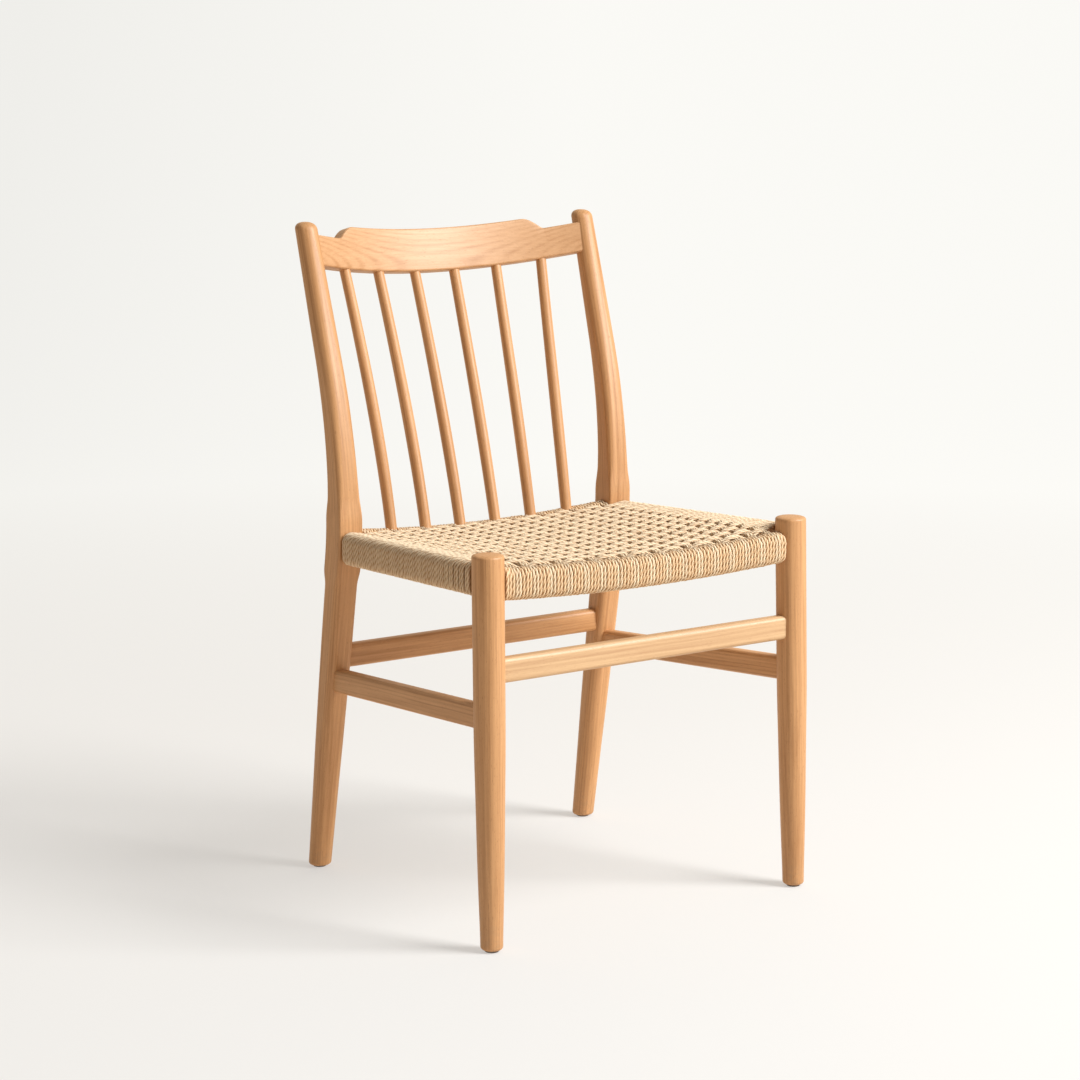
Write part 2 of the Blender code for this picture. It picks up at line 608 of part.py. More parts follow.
# ---- woven seat ----------------------------------------------------------------------
def add_seat_weave(side: Bar, front: Bar, rear: Bar) -> bpy.types.Object:
    """The woven sheet inside the four wraps, a dished plate with an even thickness."""
    shares = np.linspace(-1.0, 1.0, WEAVE_STEPS + 1)
    front_y = front.start[1] + FRONT_WRAP_WIDTH / 2.0 + WEAVE_EDGE_GAP
    edge_slope = (side.end[0] - side.start[0]) / (side.end[1] - side.start[1])
    half_wrap = SIDE_WRAP_WIDTH / 2.0 * math.hypot(1.0, edge_slope)
    seat_top = side.start[2] + SIDE_WRAP_HEIGHT / 2.0 - WEAVE_BELOW_WRAP
    mesh_maker = bmesh.new()
    layers = []
    for down in (0.0, WEAVE_THICKNESS):
        rows = []
        for j in range(WEAVE_STEPS + 1):
            row = []
            for across in shares:
                along = j / WEAVE_STEPS
                rear_share = 0.5 + across * (rear.end[0] - WEAVE_REAR_INSET) / rear.length
                rear_y = rear.point(rear_share)[1] - REAR_WRAP_WIDTH / 2.0 - WEAVE_EDGE_GAP
                y = front_y + along * (rear_y - front_y)
                edge = side.start[0] + edge_slope * (y - side.start[1]) - half_wrap - WEAVE_EDGE_GAP
                dish = WEAVE_DISH_FRONT + along * (WEAVE_DISH_REAR - WEAVE_DISH_FRONT)
                z = seat_top - SIDE_RAIL_FALL * (y - side.start[1]) - dish * (1.0 - across**2) - down
                row.append(mesh_maker.verts.new((across * edge, y, z)))
            rows.append(row)
        layers.append(rows)
    top, bottom = layers
    last = WEAVE_STEPS
    for rows in layers:
        for j in range(last):
            for i in range(last):
                mesh_maker.faces.new((rows[j][i], rows[j][i + 1], rows[j + 1][i + 1], rows[j + 1][i]))
    rim = [(0, i) for i in range(last)] + [(j, last) for j in range(last)]
    rim += [(last, i) for i in range(last, 0, -1)] + [(j, 0) for j in range(last, 0, -1)]
    for (j, i), (next_j, next_i) in zip(rim, rim[1:] + rim[:1]):
        mesh_maker.faces.new((top[j][i], top[next_j][next_i], bottom[next_j][next_i], bottom[j][i]))
    return finish_mesh("seat_weave", mesh_maker, CORD_FIBRE)


# ---- glides --------------------------------------------------------------------------
def add_glide(name: str, centre: tuple, leg: bpy.types.Object) -> bpy.types.Object:
    """A disc on a nail, and the nail's hole in the foot."""
    nail_top = GLIDE_THICKNESS + GLIDE_NAIL_LENGTH
    profile = (
        (0.0, GLIDE_RADIUS - GLIDE_CHAMFER),
        (GLIDE_CHAMFER, GLIDE_RADIUS),
        (GLIDE_THICKNESS, GLIDE_RADIUS),
        (GLIDE_THICKNESS, GLIDE_NAIL_RADIUS),
        (nail_top, GLIDE_NAIL_RADIUS),
    )
    hole_radius = GLIDE_NAIL_RADIUS + CLEARANCE
    hole = ((-GLIDE_THICKNESS, hole_radius), (nail_top + CLEARANCE, hole_radius))
    angles = np.arange(GLIDE_SIDES) * 2.0 * math.pi / GLIDE_SIDES
    circle = np.stack([np.cos(angles), np.sin(angles), np.zeros(GLIDE_SIDES)], 1)

    def rings(sections: tuple) -> np.ndarray:
        """Level circles about the foot's centre."""
        return np.array([np.array((*centre, z)) + radius * circle for z, radius in sections])

    combine(leg, loft("nail_hole", rings(hole), WOOD), "DIFFERENCE")
    return loft(name, rings(profile), GLIDE_PLASTIC)


# ---- assembly ------------------------------------------------------------------------
def build_legs() -> dict:
    """Both front legs and both rear posts, whole, by name."""
    frame = {}
    for word, side in SIDES:
        frame[f"front_leg_{word}"] = loft(f"front_leg_{word}", front_leg_rings(side), WOOD)
        frame[f"rear_post_{word}"] = loft(f"rear_post_{word}", rear_post_rings(side), WOOD)
    return frame


def leg_end(word: str, side: float) -> tuple:
    """What add_bar needs to know about a front leg."""
    return f"front_leg_{word}", front_leg_rings(side, CLEARANCE), LEG_TAPER[-1][1]


def post_end(word: str, side: float) -> tuple:
    """What add_bar needs to know about a rear post."""
    return f"rear_post_{word}", rear_post_rings(side, CLEARANCE), POST_LOWER_SECTIONS[-1][1]


def build_seat(frame: dict) -> bpy.types.Object:
    """The four seat rails, their wraps and the woven sheet. Returns the rear rail."""
    (left, left_side), (right, right_side) = SIDES
    bare = 2.0 * CORD
    wrap_inset = LEG_TAPER[-1][1] + WRAP_END_GAP
    block = POST_LOWER_SECTIONS[-1][1]
    rails = {word: side_rail(side) for word, side in SIDES}
    for word, side in SIDES:
        ends = (leg_end(word, side), post_end(word, side))
        add_bar(
            f"side_seat_rail_{word}", rails[word], SIDE_WRAP_WIDTH - bare, SIDE_WRAP_HEIGHT - bare,
            RAIL_CORNER, 1, RAIL_TENON_REACH, ends, frame,
        )
        add_wrap(
            f"side_rail_wrap_{word}", rails[word], SIDE_WRAP_WIDTH, SIDE_WRAP_HEIGHT,
            wrap_inset, block + CLEARANCE + WRAP_END_GAP / 2.0,
        )
    front = front_rail()
    ends = (leg_end(left, left_side), leg_end(right, right_side))
    add_bar(
        "front_seat_rail", front, FRONT_WRAP_WIDTH - bare, FRONT_WRAP_HEIGHT - bare,
        RAIL_CORNER, RAIL_STEPS, RAIL_TENON_REACH, ends, frame,
    )
    add_wrap("front_rail_wrap", front, FRONT_WRAP_WIDTH, FRONT_WRAP_HEIGHT, wrap_inset, wrap_inset)
    rear = rear_rail()
    ends = (post_end(left, left_side), post_end(right, right_side))
    rail = add_bar(
        "rear_seat_rail", rear, REAR_WRAP_WIDTH - bare, REAR_WRAP_HEIGHT - bare,
        RAIL_CORNER, RAIL_STEPS, RAIL_TENON_REACH, ends, frame,
    )
    inset = block + WRAP_END_GAP
    frame["rear_rail_wrap"] = add_wrap(
        "rear_rail_wrap", rear, REAR_WRAP_WIDTH, REAR_WRAP_HEIGHT, inset, inset,
    )
    add_seat_weave(rails["right"], front, rear)
    return rail


def build_stretchers(frame: dict) -> None:
    """The four stretchers that tie the legs below the seat."""
    (left, left_side), (right, right_side) = SIDES
    size = (STRETCHER_WIDTH, STRETCHER_HEIGHT, STRETCHER_CORNER, 1, STRETCHER_TENON_REACH)
    z = FRONT_STRETCHER_HEIGHT
    bar = Bar((*leg_centre(z, left_side), z), (*leg_centre(z, right_side), z))
    add_bar("front_stretcher", bar, *size, (leg_end(left, left_side), leg_end(right, right_side)), frame)
    z = REAR_STRETCHER_HEIGHT
    bar = Bar((*post_centre(z, left_side), z), (*post_centre(z, right_side), z))
    add_bar("rear_stretcher", bar, *size, (post_end(left, left_side), post_end(right, right_side)), frame)
    low, high = SIDE_STRETCHER_REAR_HEIGHT, SIDE_STRETCHER_FRONT_HEIGHT
    for word, side in SIDES:
        bar = Bar((*leg_centre(high, side), high), (*post_centre(low, side), low))
        add_bar(f"side_stretcher_{word}", bar, *size, (leg_end(word, side), post_end(word, side)), frame)


def build_back(frame: dict, seat_rail: bpy.types.Object) -> None:
    """The crest rail with its tenons, and the spindles with their sockets."""
    crest = Crest()
    board = crest.make()
    for word, side in SIDES:
        combine(board, loft("cope", rear_post_rings(side, CLEARANCE), WOOD), "DIFFERENCE")
    for word, side in SIDES:
        combine(board, crest.tenon(side, 0.0), "UNION")
        combine(frame[f"rear_post_{word}"], crest.tenon(side, CLEARANCE), "DIFFERENCE")
    rail = rear_rail()
    for index, place in enumerate(np.linspace(-1.0, 1.0, SPINDLE_COUNT)):
        for holder in (board, seat_rail, frame["rear_rail_wrap"]):
            combine(holder, loft("socket", spindle_rings(crest, rail, place, CLEARANCE), WOOD), "DIFFERENCE")
        loft(f"spindle_{index + 1}", spindle_rings(crest, rail, place, 0.0), WOOD)


def build_glides(frame: dict) -> None:
    """The four glides."""
    for word, side in SIDES:
        add_glide(f"front_glide_{word}", leg_centre(0.0, side), frame[f"front_leg_{word}"])
        add_glide(f"rear_glide_{word}", post_centre(0.0, side), frame[f"rear_post_{word}"])


def centre_on_depth() -> None:
    """Hangs every piece on one empty, placed so that the chair's depth is centred on y = 0."""
    pieces = [piece for piece in bpy.context.scene.objects if piece.type == "MESH"]
    depths = np.array([vertex.co.y for piece in pieces for vertex in piece.data.vertices])
    middle = float(depths.min() + depths.max()) / 2.0
    chair = bpy.data.objects.new("chair", None)
    chair.location = Vector((0.0, -middle, 0.0))
    bpy.context.scene.collection.objects.link(chair)
    for piece in pieces:
        piece.parent = chair
        piece.matrix_parent_inverse = Matrix.Identity(4)
        piece.data.shade_smooth()
        piece.data.set_sharp_from_angle(angle=SHARP_ANGLE)


for leftover in list(bpy.data.objects):
    bpy.data.objects.remove(leftover)

WOOD = make_material("wood", (0.665, 0.405, 0.195), 0.45)
CORD_FIBRE = make_material("cord", (0.740, 0.560, 0.340), 0.80)
GLIDE_PLASTIC = make_material("glide", (0.090, 0.070, 0.055), 0.60)

legs = build_legs()
rear_seat_rail = build_seat(legs)
build_stretchers(legs)
build_back(legs, rear_seat_rail)
build_glides(legs)
centre_on_depth()
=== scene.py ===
"""Looks of a wooden side chair with a woven cord seat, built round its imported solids.

All sizes are in metres. +Z is up, the sitter faces -Y, and +X is to the right of someone
who faces the chair's front. Every new piece is a surface worked out with numpy: a profile
carried along a path. Each sub-assembly is a class that holds its sizes as fields.
"""

import logging
import math
from dataclasses import dataclass, field, replace
from enum import Enum

import bpy
import numpy as np
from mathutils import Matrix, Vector

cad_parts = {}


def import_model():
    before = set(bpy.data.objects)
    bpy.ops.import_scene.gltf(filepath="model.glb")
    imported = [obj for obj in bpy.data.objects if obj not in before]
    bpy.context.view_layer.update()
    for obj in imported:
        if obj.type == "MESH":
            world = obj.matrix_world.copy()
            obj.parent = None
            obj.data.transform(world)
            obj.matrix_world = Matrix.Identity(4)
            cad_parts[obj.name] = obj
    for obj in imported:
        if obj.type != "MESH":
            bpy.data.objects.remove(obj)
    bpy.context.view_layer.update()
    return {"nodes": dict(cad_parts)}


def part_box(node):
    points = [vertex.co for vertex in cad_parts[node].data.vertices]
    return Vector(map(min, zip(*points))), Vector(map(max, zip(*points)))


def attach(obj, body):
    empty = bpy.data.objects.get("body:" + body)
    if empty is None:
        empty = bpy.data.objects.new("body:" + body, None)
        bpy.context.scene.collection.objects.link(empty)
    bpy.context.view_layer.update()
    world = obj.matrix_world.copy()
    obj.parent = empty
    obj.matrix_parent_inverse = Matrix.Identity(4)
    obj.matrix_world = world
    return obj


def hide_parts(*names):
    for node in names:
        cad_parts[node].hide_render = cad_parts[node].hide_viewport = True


log = logging.getLogger("chair")

BODY = "root"
SIDES = (("left", -1.0), ("right", 1.0))
ACROSS = np.array((1.0, 0.0, 0.0))
BACK = np.array((0.0, 1.0, 0.0))
UP = np.array((0.0, 0.0, 1.0))
BLACK = (0.0, 0.0, 0.0, 1.0)

# Names of the values that surfaces carry for their shaders.
GRAIN = "grain_place"
STRAND = "strand_place"
# The last value is 1 on a strand's crest and less in its valleys and on its flanks; the cord shader
# turns the rest dark as painted shade.
RIDGE_LIGHT = "strand_ridge_light"

# The fraction of the golden ratio: its multiples spread out well between 0 and 1.
GOLDEN_SHARE = 0.6180339887

# How many points a cord's run across the seat has before it is resampled.
SEAT_STEPS = 420


class Slot(Enum):
    """The record's material slots."""

    WOOD = "wood"
    CORD = "cord"
    GLIDE = "glide"


# ---- arrays --------------------------------------------------------------------------
def unit(vectors: np.ndarray) -> np.ndarray:
    """Vectors divided by their own lengths."""
    return vectors / np.linalg.norm(vectors, axis=-1, keepdims=True)


def smooth_curve(
    places: np.ndarray, stations: np.ndarray, values: np.ndarray, soft: float
) -> np.ndarray:
    """A piecewise linear function, rounded off by averaging it over a small window.

    Args:
        places: where it is wanted.
        stations: where its values are known, rising.
        values: the known values.
        soft: half the window's width.

    Returns:
        The mean of nine samples from place - soft to place + soft, at every place.
    """
    offsets = np.linspace(-soft, soft, 9)
    return np.interp(places[:, None] + offsets, stations, values).mean(axis=1)


def smooth_path(points: np.ndarray, passes: int) -> np.ndarray:
    """A path whose inner points move, pass by pass, halfway to the mean of their neighbours."""
    points = points.copy()
    for _ in range(passes):
        points[1:-1] = 0.25 * points[:-2] + 0.5 * points[1:-1] + 0.25 * points[2:]
    return points


def run_lengths(points: np.ndarray) -> np.ndarray:
    """The distance along a path to each of its points."""
    steps = np.linalg.norm(np.diff(points, axis=0), axis=1)
    return np.concatenate([[0.0], np.cumsum(steps)])


def evenly(points: np.ndarray, step: float, *others: np.ndarray) -> list[np.ndarray]:
    """A path, and arrays that go with its points, resampled at equal distances along it."""
    lengths = run_lengths(points)
    count = max(int(round(lengths[-1] / step)), 4)
    places = np.linspace(0.0, lengths[-1], count + 1)
    made = []
    for values in (points, *others):
        made.append(np.stack([np.interp(places, lengths, column) for column in values.T], 1))
    return made


def rounded_bar(width: float, height: float, corner: float, steps: int) -> np.ndarray:
    """A rounded rectangle about the origin, as (across, up) points, anticlockwise.

    Each corner is a quarter of a circle with steps + 1 points, and each flat side has three more.
    """
    turns = np.linspace(0.0, math.pi / 2.0, steps + 1)
    signs = np.array(((1, 1), (-1, 1), (-1, -1), (1, -1)), float)
    centres = signs * (width / 2.0 - corner, height / 2.0 - corner)
    angles = turns + np.arange(4)[:, None] * math.pi / 2.0
    arcs = centres[:, None] + corner * np.stack([np.cos(angles), np.sin(angles)], 2)
    shares = np.array((0.25, 0.5, 0.75))[:, None]
    pieces = []
    for arc, following in zip(arcs, np.roll(arcs, -1, axis=0)):
        pieces.append(arc)
        pieces.append(arc[-1] + shares * (following[0] - arc[-1]))
    return np.concatenate(pieces)


def rounded_squares(half: np.ndarray, corner: np.ndarray, count: int) -> np.ndarray:
    """Rounded squares, one for each half width, found along fixed directions about the centre.

    The directions crowd towards the corners. Along each one the reach is half / max(|cos|, |sin|)
    on a flat, and the far root of the corner circle's equation on a corner.

    Args:
        half: half of each square's width.
        corner: each corner's radius.
        count: points round each square, a multiple of 4.

    Returns:
        An array of shape (squares, count, 2).
    """
    quarter = np.linspace(-1.0, 1.0, count // 4, endpoint=False)
    crowded = 45.0 + 45.0 * (0.45 * quarter + 0.55 * quarter**3)
    angles = np.radians((np.arange(4)[:, None] * 90.0 + crowded).ravel())
    c = np.abs(np.cos(angles))
    s = np.abs(np.sin(angles))
    half = half[:, None]
    corner = corner[:, None]
    core = half - corner
    flat = half / np.maximum(c, s)
    along = core * (c + s)
    rounded = along + np.sqrt(np.maximum(along**2 - 2.0 * core**2 + corner**2, 0.0))
    reach = np.where(flat * np.minimum(c, s) <= core, flat, rounded)
    return np.stack([reach * np.cos(angles), reach * np.sin(angles)], 2)


# ---- meshes --------------------------------------------------------------------------
@dataclass
class Skin:
    """A closed surface, and values at its points.

    Attributes:
        points: shape (n, 3).
        quads: shape (m, 4), indices of points.
        triangles: shape (k, 3), indices of points.
        marks: named values, shape (n,) or (n, 3).
    """

    points: np.ndarray
    quads: np.ndarray
    triangles: np.ndarray
    marks: dict[str, np.ndarray] = field(default_factory=dict)

    @classmethod
    def carried(
        cls, rings: np.ndarray, marks: dict[str, np.ndarray] | None = None, loop: bool = False
    ) -> "Skin":
        """A tube through a stack of rings, with a fan of triangles over each end unless it is a loop.

        Args:
            rings: shape (n, m, 3), each ring anticlockwise seen from the path's far end.
            marks: values at the rings' points, shape (n, m) or (n, m, 3).
            loop: joins the last ring to the first, and leaves the ends out.

        Returns:
            The closed surface.
        """
        count, around = rings.shape[:2]
        last = count if loop else count - 1
        row = (np.arange(last)[:, None] * around) % (count * around)
        above = ((np.arange(last)[:, None] + 1) % count) * around
        i = np.arange(around)
        j = (i + 1) % around
        quads = np.stack([row + i, row + j, above + j, above + i], 2).reshape(-1, 4)
        points = rings.reshape(-1, 3)
        flat = {}
        for name, values in (marks or {}).items():
            flat[name] = values.reshape(count * around, -1).squeeze()
        if loop:
            return cls(points, quads, np.zeros((0, 3), int), flat)
        poles = np.stack([rings[0].mean(axis=0), rings[-1].mean(axis=0)])
        low = np.full(around, count * around)
        top = (count - 1) * around
        fans = [np.stack([low, j, i], 1), np.stack([low + 1, top + i, top + j], 1)]
        for name, values in flat.items():
            ends = np.stack([values[:around].mean(axis=0), values[-around:].mean(axis=0)])
            flat[name] = np.concatenate([values, ends])
        return cls(np.concatenate([points, poles]), quads, np.concatenate(fans), flat)

    @classmethod
    def joined(cls, skins: list["Skin"]) -> "Skin":
        """Several surfaces as one, each still closed in itself."""
        starts = np.cumsum([0] + [len(skin.points) for skin in skins[:-1]])
        quads = np.concatenate([skin.quads + start for skin, start in zip(skins, starts)])
        triangles = np.concatenate([skin.triangles + start for skin, start in zip(skins, starts)])
        marks = {}
        for name in skins[0].marks:
            marks[name] = np.concatenate([skin.marks[name] for skin in skins])
        return cls(np.concatenate([skin.points for skin in skins]), quads, triangles, marks)

    def volume(self) -> float:
        """Six times the enclosed volume, positive when the faces point outwards."""
        corners = np.concatenate([self.triangles, self.quads[:, :3], self.quads[:, (0, 2, 3)]])
        a, b, c = (self.points[corners[:, k]] for k in range(3))
        return float(np.einsum("ij,ij->", a, np.cross(b, c)))

    def make(
        self, name: str, material: bpy.types.Material, slot: Slot | None, crease: float | None = None
    ) -> bpy.types.Object:
        """Puts the surface into a new object that rides on the chair.

        Args:
            name: the piece's name.
            material: its finish.
            slot: the record's slot that the finish belongs to, if any; not used.
            crease: edges sharper than this angle, in degrees, stay sharp.

        Returns:
            The new object, at the origin.
        """
        if self.volume() < 0.0:
            self.quads = self.quads[:, ::-1]
            self.triangles = self.triangles[:, ::-1]
        corners = np.concatenate([self.quads.ravel(), self.triangles.ravel()])
        quad_starts = np.arange(len(self.quads)) * 4
        triangle_starts = self.quads.size + np.arange(len(self.triangles)) * 3
        starts = np.concatenate([quad_starts, triangle_starts])
        mesh = bpy.data.meshes.new(name)
        mesh.vertices.add(len(self.points))
        mesh.vertices.foreach_set("co", self.points.astype(np.float32).ravel())
        mesh.loops.add(len(corners))
        mesh.loops.foreach_set("vertex_index", corners.astype(np.int32))
        mesh.polygons.add(len(self.quads) + len(self.triangles))
        mesh.polygons.foreach_set("loop_start", starts.astype(np.int32))
        mesh.update(calc_edges=True)
        for mark, values in self.marks.items():
            kind, key = ("FLOAT_VECTOR", "vector") if values.ndim == 2 else ("FLOAT", "value")
            attribute = mesh.attributes.new(mark, kind, "POINT")
            attribute.data.foreach_set(key, values.astype(np.float32).ravel())
        mesh.shade_smooth()
        if crease is not None:
            mesh.set_sharp_from_angle(angle=math.radians(crease))
        mesh.materials.append(material)
        piece = bpy.data.objects.new(name, mesh)
        bpy.context.scene.collection.objects.link(piece)
        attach(piece, BODY)
        log.info("%s: %d points, %d faces", name, len(self.points), len(mesh.polygons))
        return piece


# ---- shader nodes --------------------------------------------------------------------
class Nodes:
    """Adds and links nodes in a tree, one line at a time."""

    def __init__(self, tree: bpy.types.NodeTree) -> None:
        """Keeps the tree."""
        self.tree = tree

    def add(self, kind: str, inputs: dict | None = None, **settings: object) -> bpy.types.Node:
        """A node with its settings, and its inputs set or linked.

        Args:
            kind: the node's type.
            inputs: for each socket's name or number, a value or another node's output.
            settings: the node's own properties.

        Returns:
            The node.
        """
        node = self.tree.nodes.new(kind)
        for key, value in settings.items():
            setattr(node, key, value)
        for key, value in (inputs or {}).items():
            if isinstance(value, bpy.types.NodeSocket):
                self.tree.links.new(value, node.inputs[key])
            else:
                node.inputs[key].default_value = value
        return node

    def math(self, operation: str, *values: object) -> bpy.types.NodeSocket:
        """The result of a Math node."""
        return self.add("ShaderNodeMath", dict(enumerate(values)), operation=operation).outputs[0]

    def vector(self, operation: str, inputs: dict, result: str = "Vector") -> bpy.types.NodeSocket:
        """The named result of a Vector Math node."""
        return self.add("ShaderNodeVectorMath", inputs, operation=operation).outputs[result]

    def scaled(self, vector: bpy.types.NodeSocket, scale: tuple) -> bpy.types.NodeSocket:
        """A vector multiplied by a scale along each axis."""
        return self.vector("MULTIPLY", {0: vector, 1: scale})

    def noise(
        self, vector: bpy.types.NodeSocket, scale: tuple, detail: float = 2.0
    ) -> bpy.types.NodeSocket:
        """Noise of a vector scaled along each axis, from about 0.25 to 0.75.

        Args:
            vector: the place.
            scale: how many cells there are in a metre along each axis.
            detail: how many finer layers are added.

        Returns:
            The noise's value.
        """
        inputs = {"Vector": self.scaled(vector, scale), "Scale": 1.0, "Detail": detail}
        return self.add("ShaderNodeTexNoise", inputs).outputs[0]

    def spread(self, value: bpy.types.NodeSocket, low: float, high: float) -> bpy.types.NodeSocket:
        """A value mapped so that low becomes 0 and high becomes 1, and held between them."""
        made = self.add("ShaderNodeMapRange", {0: value, 1: low, 2: high, 3: 0.0, 4: 1.0})
        return made.outputs[0]

    def blend(self, share: object, first: object, second: object) -> bpy.types.NodeSocket:
        """A colour between two colours."""
        made = self.add("ShaderNodeMix", data_type="RGBA", clamp_factor=True)
        for number, value in ((0, share), (6, first), (7, second)):
            if isinstance(value, bpy.types.NodeSocket):
                self.tree.links.new(value, made.inputs[number])
            else:
                made.inputs[number].default_value = value
        return made.outputs[2]

    def bump(
        self, height: bpy.types.NodeSocket, strength: float, distance: float
    ) -> bpy.types.NodeSocket:
        """A normal bent by a height, which stands for a distance in metres."""
        inputs = {"Height": height, "Strength": strength, "Distance": distance}
        return self.add("ShaderNodeBump", inputs).outputs[0]


def new_group(name: str, inputs: dict[str, tuple], outputs: dict[str, str]) -> tuple:
    """An empty shader group with named sockets.

    Args:
        name: the group's name.
        inputs: for each input, its socket type and its value.
        outputs: for each output, its socket type.

    Returns:
        The group, its Nodes, the Group Input node and the Group Output node.
    """
    group = bpy.data.node_groups.new(name, "ShaderNodeTree")
    for label, (kind, value) in inputs.items():
        socket = group.interface.new_socket(label, in_out="INPUT", socket_type=kind)
        if value is not None:
            socket.default_value = value
    for label, kind in outputs.items():
        group.interface.new_socket(label, in_out="OUTPUT", socket_type=kind)
    nodes = Nodes(group)
    return group, nodes, nodes.add("NodeGroupInput"), nodes.add("NodeGroupOutput")


def wood_figure_group() -> bpy.types.NodeTree:
    """Growth rings, streaks, fibres and flecks of a pale hardwood, cut from a log along Z.

    The rings are a sine of the distance from the log's axis, after a slow noise has moved the
    point sideways. Streaks and fibres are noise drawn out along the log.
    """
    colour = "NodeSocketColor"
    number = "NodeSocketFloat"
    group, nodes, given, out = new_group(
        "wood figure",
        {
            "Place": ("NodeSocketVector", None),
            "Light": (colour, (0.8, 0.5, 0.25, 1.0)),
            "Dark": (colour, (0.5, 0.28, 0.12, 1.0)),
            "Ring Spacing": (number, 0.003),
            "Ring Depth": (number, 0.3),
            "Streak Depth": (number, 0.4),
            "Wander": (number, 0.004),
            "Roughness": (number, 0.45),
        },
        {"Color": colour, "Roughness": number, "Height": number},
    )
    place = given.outputs["Place"]
    slowly = nodes.scaled(place, (14.0, 14.0, 3.5))
    slow_inputs = {"Vector": slowly, "Scale": 1.0, "Detail": 0.6}
    slow = nodes.add("ShaderNodeTexNoise", slow_inputs).outputs["Color"]
    centred = nodes.vector("SUBTRACT", {0: slow, 1: (0.5, 0.5, 0.5)})
    wander = nodes.vector("SCALE", {0: centred, "Scale": given.outputs["Wander"]})
    moved = nodes.vector("ADD", {0: place, 1: wander})
    radius = nodes.vector("LENGTH", {0: nodes.scaled(moved, (1.0, 1.0, 0.0))}, "Value")
    turns = nodes.math("DIVIDE", radius, given.outputs["Ring Spacing"])
    wave = nodes.math("SINE", nodes.math("MULTIPLY", turns, 2.0 * math.pi))
    late = nodes.math("POWER", nodes.spread(wave, -1.0, 1.0), 2.2)
    uneven = nodes.spread(nodes.noise(moved, (120.0, 120.0, 2.0)), 0.3, 0.7)
    ring = nodes.math("MULTIPLY", nodes.math("MULTIPLY", late, uneven), given.outputs["Ring Depth"])
    streak = nodes.spread(nodes.noise(moved, (420.0, 420.0, 7.0), 4.0), 0.32, 0.68)
    streak = nodes.math("MULTIPLY", streak, given.outputs["Streak Depth"])
    fibre = nodes.spread(nodes.noise(moved, (1700.0, 1700.0, 55.0), 2.0), 0.3, 0.7)
    tone = nodes.spread(nodes.noise(moved, (22.0, 22.0, 3.0), 1.0), 0.25, 0.75)
    fleck = nodes.spread(nodes.noise(place, (1500.0, 1500.0, 210.0), 1.0), 0.66, 0.74)
    dark = nodes.math("ADD", ring, streak)
    dark = nodes.math("ADD", dark, nodes.math("MULTIPLY", fibre, 0.20))
    dark = nodes.math("ADD", dark, nodes.math("MULTIPLY", tone, 0.26))
    dark = nodes.math("ADD", dark, nodes.math("MULTIPLY", fleck, 0.50))
    body = nodes.blend(dark, given.outputs["Light"], given.outputs["Dark"])
    rough = nodes.math("ADD", given.outputs["Roughness"], nodes.math("MULTIPLY", streak, 0.16))
    height = nodes.math("ADD", nodes.math("MULTIPLY", fibre, -0.5), nodes.math("MULTIPLY", fleck, -0.9))
    nodes.tree.links.new(body, out.inputs["Color"])
    nodes.tree.links.new(rough, out.inputs["Roughness"])
    nodes.tree.links.new(height, out.inputs["Height"])
    return group


def cord_fibre_and_shade_group() -> bpy.types.NodeTree:
    """Twisted paper: fine creases along each strand, painted shade in the valleys between strands and
    on their flanks, and slow changes of tone.
    """
    colour = "NodeSocketColor"
    number = "NodeSocketFloat"
    group, nodes, given, out = new_group(
        "cord fibre and painted shade",
        {
            "Strand": ("NodeSocketVector", None),
            "Ridge Light": (number, 1.0),
            "Light": (colour, (0.8, 0.6, 0.4, 1.0)),
            "Dark": (colour, (0.5, 0.3, 0.15, 1.0)),
            "Valley Shade": (number, 0.6),
            "Crease": (number, 0.3),
            "Blotch": (number, 0.2),
        },
        {"Color": colour, "Roughness": number, "Height": number},
    )
    strand = given.outputs["Strand"]
    crease = nodes.spread(nodes.noise(strand, (1900.0, 1900.0, 160.0), 3.0), 0.3, 0.7)
    blotch = nodes.spread(nodes.noise(strand, (40.0, 40.0, 26.0), 2.0), 0.3, 0.7)
    # Painted shade: where the light mark is low, in the valleys and on the flanks, the colour turns
    # dark.
    valley_shade = nodes.math("SUBTRACT", 1.0, given.outputs["Ridge Light"])
    dark = nodes.math("MULTIPLY", nodes.math("POWER", valley_shade, 1.3), given.outputs["Valley Shade"])
    dark = nodes.math("ADD", dark, nodes.math("MULTIPLY", crease, given.outputs["Crease"]))
    dark = nodes.math("ADD", dark, nodes.math("MULTIPLY", blotch, given.outputs["Blotch"]))
    body = nodes.blend(dark, given.outputs["Light"], given.outputs["Dark"])
    rough = nodes.math("ADD", 0.62, nodes.math("MULTIPLY", crease, 0.2))
    nodes.tree.links.new(body, out.inputs["Color"])
    nodes.tree.links.new(rough, out.inputs["Roughness"])
    nodes.tree.links.new(nodes.math("MULTIPLY", crease, -1.0), out.inputs["Height"])
    return group


def low_darkening_group() -> bpy.types.NodeTree:
    """Darker low down: a mask that is strongest near the floor and breaks up in patches."""
    number = "NodeSocketFloat"
    group, nodes, given, out = new_group(
        "low_darkening",
        {"Place": ("NodeSocketVector", None), "Reach": (number, 0.05), "Amount": (number, 0.3)},
        {"Mask": number},
    )
    height = nodes.add("ShaderNodeSeparateXYZ", {0: given.outputs["Place"]}).outputs["Z"]
    low = nodes.math("SUBTRACT", 1.0, nodes.math("DIVIDE", height, given.outputs["Reach"]))
    low = nodes.spread(low, 0.0, 1.0)
    patch = nodes.spread(nodes.noise(given.outputs["Place"], (180.0, 180.0, 180.0), 4.0), 0.4, 0.65)
    mask = nodes.math("MULTIPLY", nodes.math("MULTIPLY", low, patch), given.outputs["Amount"])
    nodes.tree.links.new(mask, out.inputs["Mask"])
    return group


